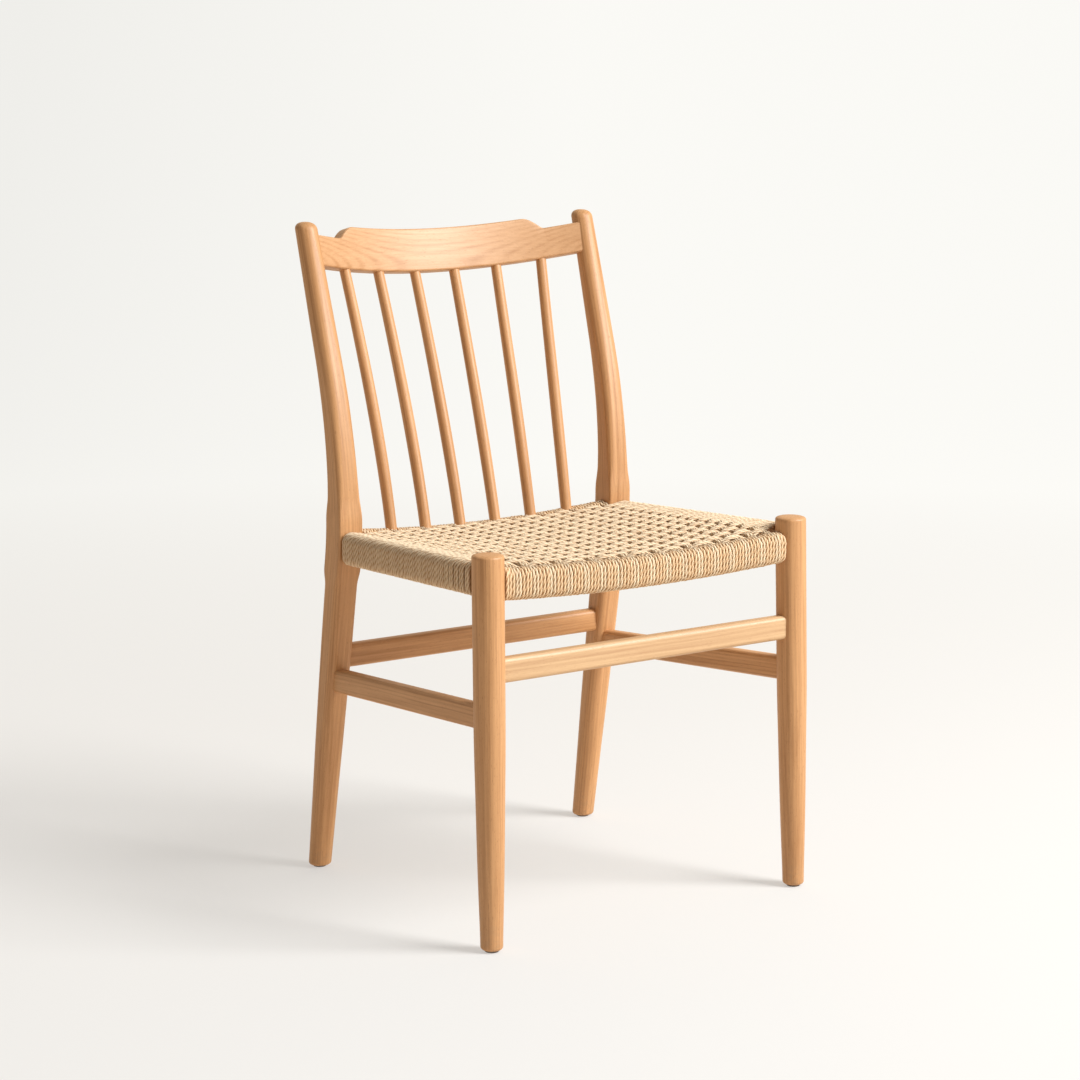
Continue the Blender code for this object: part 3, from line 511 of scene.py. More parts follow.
@dataclass(frozen=True)
class WoodFinish:
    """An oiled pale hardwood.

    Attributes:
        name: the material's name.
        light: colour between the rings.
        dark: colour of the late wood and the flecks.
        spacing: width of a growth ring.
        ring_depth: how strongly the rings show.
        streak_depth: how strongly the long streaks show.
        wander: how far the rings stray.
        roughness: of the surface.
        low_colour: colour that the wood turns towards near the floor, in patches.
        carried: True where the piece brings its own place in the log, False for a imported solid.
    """

    name: str
    light: tuple = (0.67, 0.370, 0.168)
    dark: tuple = (0.385, 0.176, 0.061)
    spacing: float = 0.0034
    ring_depth: float = 0.34
    streak_depth: float = 0.42
    wander: float = 0.006
    roughness: float = 0.43
    low_colour: tuple = (0.30, 0.20, 0.12)
    carried: bool = True

    def make(self, figure: bpy.types.NodeTree, low_darkening: bpy.types.NodeTree) -> bpy.types.Material:
        """Builds the material round the shared groups."""
        material = bpy.data.materials.new(self.name)
        material.use_nodes = True
        nodes = Nodes(material.node_tree)
        shader = material.node_tree.nodes["Principled BSDF"]
        bare = nodes.add("ShaderNodeTexCoord").outputs["Object"]
        if self.carried:
            place = nodes.add("ShaderNodeAttribute", attribute_name=GRAIN).outputs["Vector"]
        else:
            lying = (0.0, math.pi / 2.0, 0.0)
            turned = {"Vector": bare, "Location": (0.05, 0.03, 0.0), "Rotation": lying}
            place = nodes.add("ShaderNodeMapping", turned).outputs[0]
        given = {
            "Place": place,
            "Light": (*self.light, 1.0),
            "Dark": (*self.dark, 1.0),
            "Ring Spacing": self.spacing,
            "Ring Depth": self.ring_depth,
            "Streak Depth": self.streak_depth,
            "Wander": self.wander,
            "Roughness": self.roughness,
        }
        group = nodes.add("ShaderNodeGroup", given, node_tree=figure)
        # Darker towards the floor, in patches.
        low_mask = nodes.add("ShaderNodeGroup", {"Place": bare}, node_tree=low_darkening)
        low_darkened = nodes.blend(low_mask.outputs["Mask"], group.outputs["Color"], (*self.low_colour, 1.0))
        nodes.tree.links.new(low_darkened, shader.inputs["Base Color"])
        nodes.tree.links.new(group.outputs["Roughness"], shader.inputs["Roughness"])
        normal = nodes.bump(group.outputs["Height"], strength=0.25, distance=0.0003)
        nodes.tree.links.new(normal, shader.inputs["Normal"])
        shader.inputs["Specular IOR Level"].default_value = 0.5
        shader.inputs["Coat Weight"].default_value = 0.15
        shader.inputs["Coat Roughness"].default_value = 0.42
        return material


@dataclass(frozen=True)
class CordFinish:
    """Unbleached twisted paper cord.

    Attributes:
        name: the material's name.
        light: colour of a strand's crest, where no painted shade falls.
        dark: colour that the painted shade in the valleys, the creases and the blotches turn towards.
        valley_shade: how dark the painted shade in the valleys between strands and on the flanks is.
        crease: how strongly the paper's fine creases show.
        blotch: how far the tone strays along a cord.
    """

    name: str
    light: tuple = (0.97, 0.83, 0.60)
    dark: tuple = (0.33, 0.15, 0.045)
    valley_shade: float = 0.72
    crease: float = 0.16
    blotch: float = 0.20

    def make(self, fibre: bpy.types.NodeTree) -> bpy.types.Material:
        """Builds the material round the shared group."""
        material = bpy.data.materials.new(self.name)
        material.use_nodes = True
        nodes = Nodes(material.node_tree)
        shader = material.node_tree.nodes["Principled BSDF"]
        given = {
            "Strand": nodes.add("ShaderNodeAttribute", attribute_name=STRAND).outputs["Vector"],
            "Ridge Light": nodes.add("ShaderNodeAttribute", attribute_name=RIDGE_LIGHT).outputs["Fac"],
            "Light": (*self.light, 1.0),
            "Dark": (*self.dark, 1.0),
            "Valley Shade": self.valley_shade,
            "Crease": self.crease,
            "Blotch": self.blotch,
        }
        group = nodes.add("ShaderNodeGroup", given, node_tree=fibre)
        nodes.tree.links.new(group.outputs["Color"], shader.inputs["Base Color"])
        nodes.tree.links.new(group.outputs["Roughness"], shader.inputs["Roughness"])
        normal = nodes.bump(group.outputs["Height"], strength=0.35, distance=0.0004)
        nodes.tree.links.new(normal, shader.inputs["Normal"])
        shader.inputs["Specular IOR Level"].default_value = 0.35
        shader.inputs["Sheen Weight"].default_value = 0.12
        shader.inputs["Sheen Roughness"].default_value = 0.5
        return material


@dataclass(frozen=True)
class PlainFinish:
    """Moulded plastic or metal wire, mottled by fine noise.

    Attributes:
        name: the material's name.
        light: the paler colour of the mottle.
        dark: its darker colour.
        roughness: of the smoothest spots.
        metallic: 1 for metal.
        low_tone: colour that the surface turns towards near the floor, in patches.
        low_reach: how high that darkening goes.
    """

    name: str
    light: tuple
    dark: tuple
    roughness: float
    metallic: float = 0.0
    low_tone: tuple = (0.35, 0.32, 0.28)
    low_reach: float = 0.004

    def make(self, low_darkening: bpy.types.NodeTree) -> bpy.types.Material:
        """Builds the material."""
        material = bpy.data.materials.new(self.name)
        material.use_nodes = True
        nodes = Nodes(material.node_tree)
        shader = material.node_tree.nodes["Principled BSDF"]
        bare = nodes.add("ShaderNodeTexCoord").outputs["Object"]
        mottle = nodes.spread(nodes.noise(bare, (900.0, 900.0, 900.0), 3.0), 0.3, 0.7)
        body = nodes.blend(mottle, (*self.light, 1.0), (*self.dark, 1.0))
        given = {"Place": bare, "Reach": self.low_reach, "Amount": 0.5}
        # Darker towards the floor, in patches.
        low_mask = nodes.add("ShaderNodeGroup", given, node_tree=low_darkening)
        low_darkened = nodes.blend(low_mask.outputs["Mask"], body, (*self.low_tone, 1.0))
        nodes.tree.links.new(low_darkened, shader.inputs["Base Color"])
        rough = nodes.math("ADD", self.roughness, nodes.math("MULTIPLY", mottle, 0.1))
        nodes.tree.links.new(rough, shader.inputs["Roughness"])
        normal = nodes.bump(mottle, strength=0.15, distance=0.0002)
        nodes.tree.links.new(normal, shader.inputs["Normal"])
        shader.inputs["Metallic"].default_value = self.metallic
        return material


@dataclass
class Finishes:
    """Every material of the chair, made once."""

    figure: bpy.types.NodeTree = field(default_factory=wood_figure_group)
    fibre: bpy.types.NodeTree = field(default_factory=cord_fibre_and_shade_group)
    low_darkening: bpy.types.NodeTree = field(default_factory=low_darkening_group)

    def __post_init__(self) -> None:
        """Makes the materials."""
        bars = WoodFinish("stretcher wood", spacing=0.0042, ring_depth=0.48)
        # The front bar's wood is paler and whiter than the other bars': a painted highlight for the
        # light that falls on its front face.
        front = replace(bars, name="front bar wood, painted highlight", ring_depth=0.36)
        front = replace(front, light=(0.69, 0.475, 0.265), dark=(0.46, 0.265, 0.135))
        # The crest rail's wood is bluer and a little less red than the legs': a painted highlight for
        # the whiter sheen of the light on its front.
        crest = WoodFinish(
            "crest wood, painted highlight", light=(0.635, 0.375, 0.198), ring_depth=0.46, streak_depth=0.24, wander=0.012
        )
        # The rails show only in the gaps beside the legs, so their wood is painted dark: painted shade
        # for those gaps.
        shaded_rail_wood = WoodFinish("rail wood, painted shade", (0.42, 0.22, 0.09), (0.24, 0.11, 0.036), carried=False)
        self.legs = self.wood(WoodFinish("leg wood"))
        self.spindles = self.wood(WoodFinish("spindle wood", ring_depth=0.25))
        self.bars = self.wood(bars)
        self.front_bar_highlit = self.wood(front)
        self.crest = self.wood(crest)
        self.rails = self.wood(shaded_rail_wood)
        # The cords round the front and rear rails are browner, with darker valleys, than the seat's:
        # painted shade for faces that the light strikes at a glancing angle. Their tone also varies
        # less.
        shaded_rail_cord = CordFinish("rail cord, painted shade", light=(0.90, 0.69, 0.445), valley_shade=0.85, blotch=0.07)
        self.weave = CordFinish("seat cord").make(self.fibre)
        self.wrap = shaded_rail_cord.make(self.fibre)
        plastic = PlainFinish("glide plastic", (0.10, 0.08, 0.065), (0.07, 0.055, 0.045), 0.55)
        wire = PlainFinish("nail wire", (0.42, 0.40, 0.37), (0.30, 0.28, 0.25), 0.38, metallic=1.0)
        self.glides = plastic.make(self.low_darkening)
        self.nails = wire.make(self.low_darkening)

    def wood(self, finish: WoodFinish) -> bpy.types.Material:
        """A wooden material round the shared groups."""
        return finish.make(self.figure, self.low_darkening)


# ---- the chair's lines ---------------------------------------------------------------
@dataclass(frozen=True)
class Run:
    """A line from one leg to another, which may dip and bow in its middle.

    A point is start + share (end - start) + sag (1 - (2 share - 1)^2).

    Attributes:
        start: the first end.
        end: the second end.
        dip: how far the middle hangs down.
        bow: how far the middle stands back.
    """

    start: np.ndarray
    end: np.ndarray
    dip: float = 0.0
    bow: float = 0.0

    @property
    def length(self) -> float:
        """The level distance from end to end."""
        return float(np.hypot(*(self.end - self.start)[:2]))

    @property
    def heading(self) -> np.ndarray:
        """Level unit vector from start to end."""
        return unit((self.end - self.start) * (1.0, 1.0, 0.0))

    def points(self, shares: np.ndarray) -> np.ndarray:
        """The line at shares of its length."""
        shares = np.asarray(shares, float)[..., None]
        arch = 1.0 - (2.0 * shares - 1.0) ** 2
        sag = np.array((0.0, self.bow, -self.dip))
        return self.start + shares * (self.end - self.start) + arch * sag


@dataclass(frozen=True)
class ChairLines:
    """Where the legs, posts and rails run.

    Attributes:
        front: y of the line that the front legs' sizes are measured from.
        total_height: of the posts' tops.
        seat_height: of the side rails' cords beside the front legs.
        seat_depth: from the front line back to the posts, at seat height.
        front_half_span: from the middle to a front leg's centre, at seat height.
        rear_half_span: from the middle to a rear post's centre, at seat height.
        leg_splay: how far a front leg moves outwards for each metre down.
        leg_rake: how far it moves back for each metre up.
        leg_foot_set: how far its foot stands in front of the front line.
        post_rake: slope of a rear post near the floor.
        post_lower_bend: radius of its bend below the seat.
        post_lean: slope of a rear post near its top.
        post_upper_bend: radius of its bend above the seat.
        post_foot_spread: how far a post moves outwards for each metre below the seat.
        post_top_spread: how far it moves outwards for each metre above the seat.
        foot: the height of the wooden feet's undersides, on top of the glides.
        rail_height: height of the front and rear rails with their cords on.
        side_rail_height: the same for the side rails.
        side_rail_fall: how far a side rail falls for each metre to the rear.
        side_rail_outset: how far it stands outside the legs' centres.
        front_rail_below_seat: from seat height down to the top of its cords, at the legs.
        front_rail_dip: how far its middle hangs down.
        rear_rail_below_seat: from seat height down to the top of its cords, at the posts.
        rear_rail_dip: how far its middle hangs down.
        rear_rail_bow: how far its middle stands back.
        rear_rail_set_in: how far its ends stand in front of the posts' centres.
    """

    front: float
    total_height: float = 0.810
    seat_height: float = 0.4515
    seat_depth: float = 0.3446
    front_half_span: float = 0.2222
    rear_half_span: float = 0.2044
    leg_splay: float = 0.0080
    leg_rake: float = 0.0239
    leg_foot_set: float = 0.0020
    post_rake: float = 0.155
    post_lower_bend: float = 0.333
    post_lean: float = 0.295
    post_upper_bend: float = 0.667
    post_foot_spread: float = 0.0034
    post_top_spread: float = 0.0106
    foot: float = 0.0023
    rail_height: float = 0.0380
    side_rail_height: float = 0.0410
    side_rail_fall: float = 0.0379
    side_rail_outset: float = 0.0012
    front_rail_below_seat: float = 0.0064
    front_rail_dip: float = 0.0078
    rear_rail_below_seat: float = 0.0098
    rear_rail_dip: float = 0.0130
    rear_rail_bow: float = 0.0160
    rear_rail_set_in: float = 0.0060

    @classmethod
    def from_frame(cls) -> "ChairLines":
        """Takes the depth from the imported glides, which sit under the front legs' feet."""
        low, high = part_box("front_glide_left")
        return cls(front=(low.y + high.y) / 2.0 + cls.leg_foot_set)

    def leg(self, z: np.ndarray, side: float) -> np.ndarray:
        """A front leg's centre at each height, a straight leaning line."""
        z = np.asarray(z, float)
        x = side * (self.front_half_span + self.leg_splay * (self.seat_height - z))
        return np.stack([x, self.front + self.leg_rake * z - self.leg_foot_set, z], -1)

    @staticmethod
    def bend(distance: np.ndarray, slope: float, radius: float) -> np.ndarray:
        """How far a line has moved once it bends from plumb to a slope: a parabola, then straight."""
        bent = slope * radius
        held = np.minimum(distance, bent)
        return held**2 / (2.0 * radius) + slope * np.maximum(distance - bent, 0.0)

    def post(self, z: np.ndarray, side: float) -> np.ndarray:
        """A rear post's centre at each height: raked below the seat, leaning back above it."""
        z = np.asarray(z, float)
        above = z - self.seat_height
        low = self.bend(np.maximum(-above, 0.0), self.post_rake, self.post_lower_bend)
        high = self.bend(np.maximum(above, 0.0), self.post_lean, self.post_upper_bend)
        spread = np.where(above < 0.0, -self.post_foot_spread, self.post_top_spread) * above
        x = side * (self.rear_half_span + spread)
        return np.stack([x, self.front + self.seat_depth + low + high, z], -1)

    def side_rail(self, side: float) -> Run:
        """The side rail's centre line, falling to the rear."""
        height = self.seat_height - self.side_rail_height / 2.0
        leg = self.leg(height, side)
        post = self.post(height, side)
        fall = self.side_rail_fall * (post[1] - leg[1])
        outset = side * self.side_rail_outset
        return Run(leg + (outset, 0.0, 0.0), post + (outset, 0.0, -fall))

    def front_rail(self) -> Run:
        """The front rail's centre line, dipping in the middle."""
        height = self.seat_height - self.front_rail_below_seat - self.rail_height / 2.0
        return Run(self.leg(height, -1.0), self.leg(height, 1.0), dip=self.front_rail_dip)

    def rear_rail(self) -> Run:
        """The rear rail's centre line, dipping and bowing back in the middle."""
        height = self.seat_height - self.rear_rail_below_seat - self.rail_height / 2.0
        start = self.post(height, -1.0) - self.rear_rail_set_in * BACK
        end = self.post(height, 1.0) - self.rear_rail_set_in * BACK
        return Run(start, end, dip=self.rear_rail_dip, bow=self.rear_rail_bow)


# ---- wood ----------------------------------------------------------------------------
@dataclass(frozen=True)
class LogPlace:
    """Where in its log a piece was cut, so that no two pieces have the same figure.

    Attributes:
        aside: of the log's axis, across.
        behind: of the log's axis, the other way across.
        along: up the log.
        turn: about the piece's own length, in radians.
    """

    aside: float
    behind: float
    along: float
    turn: float

    @classmethod
    def number(cls, index: int) -> "LogPlace":
        """The place of the piece with this number, spread out by steps of the golden ratio."""
        share = (index * GOLDEN_SHARE) % 1.0
        return cls(0.045 + 0.05 * share, 0.03 * math.cos(7.0 * index), 1.7 * index, 2.4 * index)

    def of(self, across: np.ndarray, along: np.ndarray) -> np.ndarray:
        """Turns and shifts a piece's own coordinates into the log's.

        Args:
            across: the two coordinates across the piece, shape (n, m, 2).
            along: the distance along it, shape (n,).

        Returns:
            Places in the log, shape (n, m, 3).
        """
        c, s = math.cos(self.turn), math.sin(self.turn)
        x = across[..., 0] * c - across[..., 1] * s + self.aside
        y = across[..., 0] * s + across[..., 1] * c + self.behind
        z = np.broadcast_to(along[:, None] + self.along, x.shape)
        return np.stack([x, y, z], -1)


def carry(
    centres: np.ndarray,
    first: np.ndarray,
    second: np.ndarray,
    outlines: np.ndarray,
    place: LogPlace | None = None,
) -> Skin:
    """A solid of wood: outlines carried along a centre line.

    A point is centre + a first + b second, for each outline point (a, b).

    Args:
        centres: shape (n, 3).
        first: the outlines' first direction, shape (n, 3) or (3,).
        second: their second direction.
        outlines: shape (n, m, 2) or (m, 2).
        place: where the piece lay in its log, if its grain follows the centre line.

    Returns:
        The closed surface, with its grain marked if there is a place.
    """
    outlines = np.broadcast_to(outlines, (len(centres), *outlines.shape[-2:]))
    first = np.broadcast_to(first, centres.shape)[:, None]
    second = np.broadcast_to(second, centres.shape)[:, None]
    rings = centres[:, None] + outlines[..., :1] * first + outlines[..., 1:] * second
    marks = {GRAIN: place.of(outlines, run_lengths(centres))} if place else {}
    return Skin.carried(rings, marks)


def unit_circle(count: int) -> np.ndarray:
    """Points round a circle of radius 1, shape (count, 2)."""
    angles = np.arange(count) * 2.0 * math.pi / count
    return np.stack([np.cos(angles), np.sin(angles)], 1)


def dome_profile(radius: float, height: float, squareness: float, steps: int) -> np.ndarray:
    """(height, radius) pairs over a quarter of a superellipse, up to a tiny flat on top."""
    turns = np.radians(np.linspace(0.0, 88.0, steps + 1)[1:])
    power = 2.0 / squareness
    rise = height / math.sin(turns[-1]) ** power
    return np.stack([rise * np.sin(turns) ** power, radius * np.cos(turns) ** power], 1)


def foot_profile(rounding: float, steps: int) -> np.ndarray:
    """(height, inset) pairs up a quarter circle round the lower edge of a foot."""
    turns = np.radians(np.linspace(-90.0, 0.0, steps + 1)[:-1])
    return np.stack([rounding * (1.0 + np.sin(turns)), rounding * (1.0 - np.cos(turns))], 1)


@dataclass
class FrontLegs:
    """Turned front legs: tapered to the foot, with a low domed top above the seat.

    Attributes:
        above_seat: from seat height up to the top of the dome.
        shares: places up the shaft, from 0 at its foot to 1 below the dome.
        radii: the shaft's radius at those places.
        dome_height: of the domed top.
        dome_squareness: 2 for an ellipse, and more for a flatter top.
        rounding: radius of the foot's lower edge.
        sides: points round the leg.
    """

    lines: ChairLines
    above_seat: float = 0.0100
    shares: tuple = (0.0, 0.14, 0.24, 0.39, 0.53, 1.0)
    radii: tuple = (0.0130, 0.0149, 0.0160, 0.0171, 0.0183, 0.0187)
    dome_height: float = 0.0050
    dome_squareness: float = 3.2
    rounding: float = 0.0040
    sides: int = 72

    def profile(self) -> np.ndarray:
        """(height, radius) pairs from the foot to the top of the dome."""
        foot = self.lines.foot
        shaft_end = self.lines.seat_height + self.above_seat - self.dome_height
        low = foot_profile(self.rounding, 7)
        heights = np.linspace(foot + self.rounding, shaft_end, 90)
        shares = (heights - heights[0]) / (heights[-1] - heights[0])
        radii = smooth_curve(shares, np.array(self.shares), np.array(self.radii), 0.05)
        rounded = np.stack([foot + low[:, 0], radii[0] - low[:, 1]], 1)
        dome = dome_profile(radii[-1], self.dome_height, self.dome_squareness, 18) + (shaft_end, 0.0)
        return np.concatenate([rounded, np.stack([heights, radii], 1), dome])

    def build(self, finish: bpy.types.Material) -> None:
        """Makes both legs."""
        profile = self.profile()
        outlines = profile[:, 1, None, None] * unit_circle(self.sides)
        for number, (word, side) in enumerate(SIDES):
            centres = self.lines.leg(profile[:, 0], side)
            skin = carry(centres, ACROSS, BACK, outlines, LogPlace.number(number))
            piece = skin.make(f"turned_leg_{word}", finish, Slot.WOOD)
            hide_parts(f"front_leg_{word}")


@dataclass
class RearPosts:
    """Bent rear posts: round at both ends, squared into a block where the rails join.

    Attributes:
        block_below_seat: from seat height down to the block's lower end.
        block_height: of the block.
        lower: rows (share of the way up to the block, half width, corner radius).
        upper: rows (height above the block, half width, corner radius).
        top_radius: under the domed top.
        dome_height: of the domed top.
        dome_squareness: 2 for an ellipse, and more for a flatter top.
        rounding: radius of the foot's lower edge.
        softness: half the length over which sizes are averaged.
        sides: points round the post.
    """

    lines: ChairLines
    block_below_seat: float = 0.0640
    block_height: float = 0.0680
    lower: tuple = (
        (0.0, 0.0142, 0.0142),
        (0.26, 0.0160, 0.0160),
        (0.42, 0.0161, 0.0130),
        (0.57, 0.0162, 0.0110),
        (0.78, 0.0164, 0.0090),
        (0.96, 0.0165, 0.0082),
        (1.0, 0.0168, 0.0026),
    )
    upper: tuple = (
        (0.0, 0.0166, 0.0024),
        (0.010, 0.0160, 0.0028),
        (0.022, 0.0154, 0.0050),
        (0.045, 0.0154, 0.0075),
        (0.085, 0.0152, 0.0089),
        (0.115, 0.0150, 0.0096),
        (0.145, 0.0149, 0.0102),
        (0.185, 0.0147, 0.0113),
        (0.225, 0.0146, 0.0122),
    )
    top_radius: float = 0.0137
    dome_height: float = 0.0100
    dome_squareness: float = 2.4
    rounding: float = 0.0040
    softness: float = 0.0035
    sides: int = 96

    def sections(self) -> np.ndarray:
        """(height, half width, corner radius) rows from the foot to the top of the dome."""
        foot = self.lines.foot + self.rounding
        block_low = self.lines.seat_height - self.block_below_seat
        block_high = block_low + self.block_height
        shaft_end = self.lines.total_height - self.dome_height
        lower = np.array(self.lower)
        lower[:, 0] = foot + lower[:, 0] * (block_low - foot)
        upper = np.array(self.upper) + (block_high, 0.0, 0.0)
        end = np.array(((shaft_end, self.top_radius, self.top_radius),))
        table = np.concatenate([lower, upper, end])
        heights = np.linspace(foot, shaft_end, 230)
        half = smooth_curve(heights, table[:, 0], table[:, 1], self.softness)
        corner = smooth_curve(heights, table[:, 0], table[:, 2], self.softness)
        corner = np.minimum(corner, half)
        low = foot_profile(self.rounding, 7)
        inset = low[:, 1]
        rounded = np.stack([self.lines.foot + low[:, 0], half[0] - inset, corner[0] - inset], 1)
        dome = dome_profile(self.top_radius, self.dome_height, self.dome_squareness, 22)
        top = np.stack([shaft_end + dome[:, 0], dome[:, 1], dome[:, 1]], 1)
        return np.concatenate([rounded, np.stack([heights, half, corner], 1), top])

    def build(self, finish: bpy.types.Material) -> None:
        """Makes both posts."""
        rows = self.sections()
        outlines = rounded_squares(rows[:, 1], rows[:, 2], self.sides)
        for number, (word, side) in enumerate(SIDES):
            centres = self.lines.post(rows[:, 0], side)
            skin = carry(centres, ACROSS, BACK, outlines, LogPlace.number(2 + number))
            piece = skin.make(f"bent_post_{word}", finish, Slot.WOOD)
            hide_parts(f"rear_post_{word}")


@dataclass
class Stretchers:
    """Four flat bars with rounded edges, let into the legs below the seat.

    Attributes:
        width: from face to face.
        height: from edge to edge.
        corner: radius of the long edges.
        front_height: of the front bar's centre line.
        rear_height: of the rear bar's centre line.
        side_front_height: of a side bar's centre line at the front leg.
        side_rear_height: the same at the rear post.
        buried: from a leg's centre to the end of the bar that shows.
    """

    lines: ChairLines
    width: float = 0.0180
    height: float = 0.0290
    corner: float = 0.0055
    front_height: float = 0.3263
    rear_height: float = 0.2775
    side_front_height: float = 0.2728
    side_rear_height: float = 0.2480
    buried: float = 0.0110

    def runs(self) -> dict[str, Run]:
        """Each bar's centre line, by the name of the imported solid."""
        leg = self.lines.leg
        post = self.lines.post
        runs = {
            "front_stretcher": Run(leg(self.front_height, -1.0), leg(self.front_height, 1.0)),
            "rear_stretcher": Run(post(self.rear_height, -1.0), post(self.rear_height, 1.0)),
        }
        for word, side in SIDES:
            start = leg(self.side_front_height, side)
            end = post(self.side_rear_height, side)
            runs[f"side_stretcher_{word}"] = Run(start, end)
        return runs

    def build(self, finish: bpy.types.Material, highlit_finish: bpy.types.Material) -> None:
        """Makes the four bars, the front one in paler, whiter wood: a painted highlight for the light
        on its front face.
        """
        outline = rounded_bar(self.width, self.height, self.corner, 8)
        for number, (name, run) in enumerate(self.runs().items()):
            edge = self.buried / run.length
            centres = run.points(np.linspace(edge, 1.0 - edge, 40))
            across = np.cross(UP, run.heading)
            skin = carry(centres, across, UP, outline, LogPlace.number(4 + number))
            # The front bar takes the paler wood of its painted highlight.
            chosen = highlit_finish if name.startswith("front") else finish
            piece = skin.make(f"flat_{name}", chosen, Slot.WOOD, crease=60.0)
            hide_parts(name)


@dataclass
class CrestRail:
    """The bowed top rail: raised in the middle, with a rounded shoulder to each end.

    Attributes:
        below_top: from the posts' tops down to the middle of the rail's lower edge.
        bow_radius: of the rail seen from above.
        set_forward: how far its ends stand in front of the posts' centres.
        edge_radius: of the lower edge seen from the front.
        thickness: of the board.
        middle_height: of the board between the shoulders.
        end_height: of the board beside the posts.
        shoulder_margin: from the post's centre to the shoulder's foot.
        shoulder_length: over which the board's height falls.
        corner: radius of the long edges.
        end_gap: from the post's centre to the rail's end, inside the post.
        softness: half the length over which the shoulder's foot is rounded off.
        log_place: aside, behind and along, where the board lay in its log.
        log_slant: how much of the bow cuts across the rings.
    """

    lines: ChairLines
    below_top: float = 0.0730
    bow_radius: float = 0.453
    set_forward: float = 0.0040
    edge_radius: float = 1.064
    thickness: float = 0.0170
    middle_height: float = 0.0550
    end_height: float = 0.0388
    shoulder_margin: float = 0.0525
    shoulder_length: float = 0.0255
    corner: float = 0.0028
    end_gap: float = 0.0055
    softness: float = 0.0025
    log_place: tuple = (0.046, 0.010, 3.1)
    log_slant: float = 0.4

    def __post_init__(self) -> None:
        """Works out where the rail meets the posts."""
        lean = self.lines.post_lean
        self.middle_z = self.lines.total_height - self.below_top
        post = self.lines.post(self.middle_z, 1.0)
        self.post_x = float(post[0])
        rise = self.post_x**2 / (2.0 * self.edge_radius)
        self.end_y = float(post[1]) + lean * rise - self.set_forward
        self.up = unit(np.array((0.0, lean, 1.0)))

    def bow(self, x: np.ndarray) -> np.ndarray:
        """How far a circle of the bow's radius falls forward at x."""
        return self.bow_radius - np.sqrt(self.bow_radius**2 - x**2)

    def base(self, x: np.ndarray) -> np.ndarray:
        """The lower edge's centre at each x."""
        x = np.asarray(x, float)
        y = self.end_y + self.bow(np.array(self.post_x)) - self.bow(x)
        return np.stack([x, y, self.middle_z + x**2 / (2.0 * self.edge_radius)], -1)

    def board_height(self, x: np.ndarray) -> np.ndarray:
        """Full height in the middle, falling by a quarter cosine over each shoulder.

        The fall is averaged over a short length, which leaves a small hollow at its foot.
        """
        foot = self.post_x - self.shoulder_margin
        near = np.abs(x)[:, None] + np.linspace(-self.softness, self.softness, 9)
        into = (near - (foot - self.shoulder_length)) / self.shoulder_length
        fall = 1.0 - np.cos(np.clip(into, 0.0, 1.0) * math.pi / 2.0)
        return self.middle_height - (self.middle_height - self.end_height) * fall.mean(axis=1)

    def stations(self) -> np.ndarray:
        """Places along the rail, close together on the shoulders."""
        foot = self.post_x - self.shoulder_margin
        inner = np.linspace(0.0, foot - self.shoulder_length, 40, endpoint=False)
        shoulder = foot - self.shoulder_length * np.linspace(1.0, 0.0, 40) ** 1.4
        hollow = foot + np.linspace(0.0004, 0.0040, 8)
        outer = np.linspace(foot + 0.0060, self.post_x - self.end_gap, 16)
        half = np.concatenate([inner, shoulder, hollow, outer])
        return np.concatenate([-half[:0:-1], half])

    def build(self, finish: bpy.types.Material) -> None:
        """Makes the board. Its figure bends less than it does, as in a board sawn to shape."""
        x = self.stations()
        heights = self.board_height(x)
        unit_outline = rounded_bar(self.thickness, self.middle_height, self.corner, 6)
        shift = (heights - self.middle_height)[:, None] / 2.0
        outlines = np.repeat(unit_outline[None], len(x), axis=0)
        rise = outlines[..., 1]
        rise += np.sign(rise) * shift * (np.abs(rise) > 0.2 * self.middle_height)
        angle = np.arcsin(x / self.bow_radius)
        tangent = np.stack([np.cos(angle), -np.sin(angle), np.zeros_like(x)], 1)
        across = unit(np.cross(self.up, tangent))
        centres = self.base(x) + self.up * heights[:, None] / 2.0
        skin = carry(centres, across, self.up, outlines)
        x, y, z = (skin.points - skin.points.mean(axis=0)).T
        aside, behind, along = self.log_place
        skin.marks[GRAIN] = np.stack([y * self.log_slant + aside, z + behind, x + along], 1)
        piece = skin.make("shaped_crest_rail", finish, Slot.WOOD, crease=50.0)
        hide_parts("crest_rail")


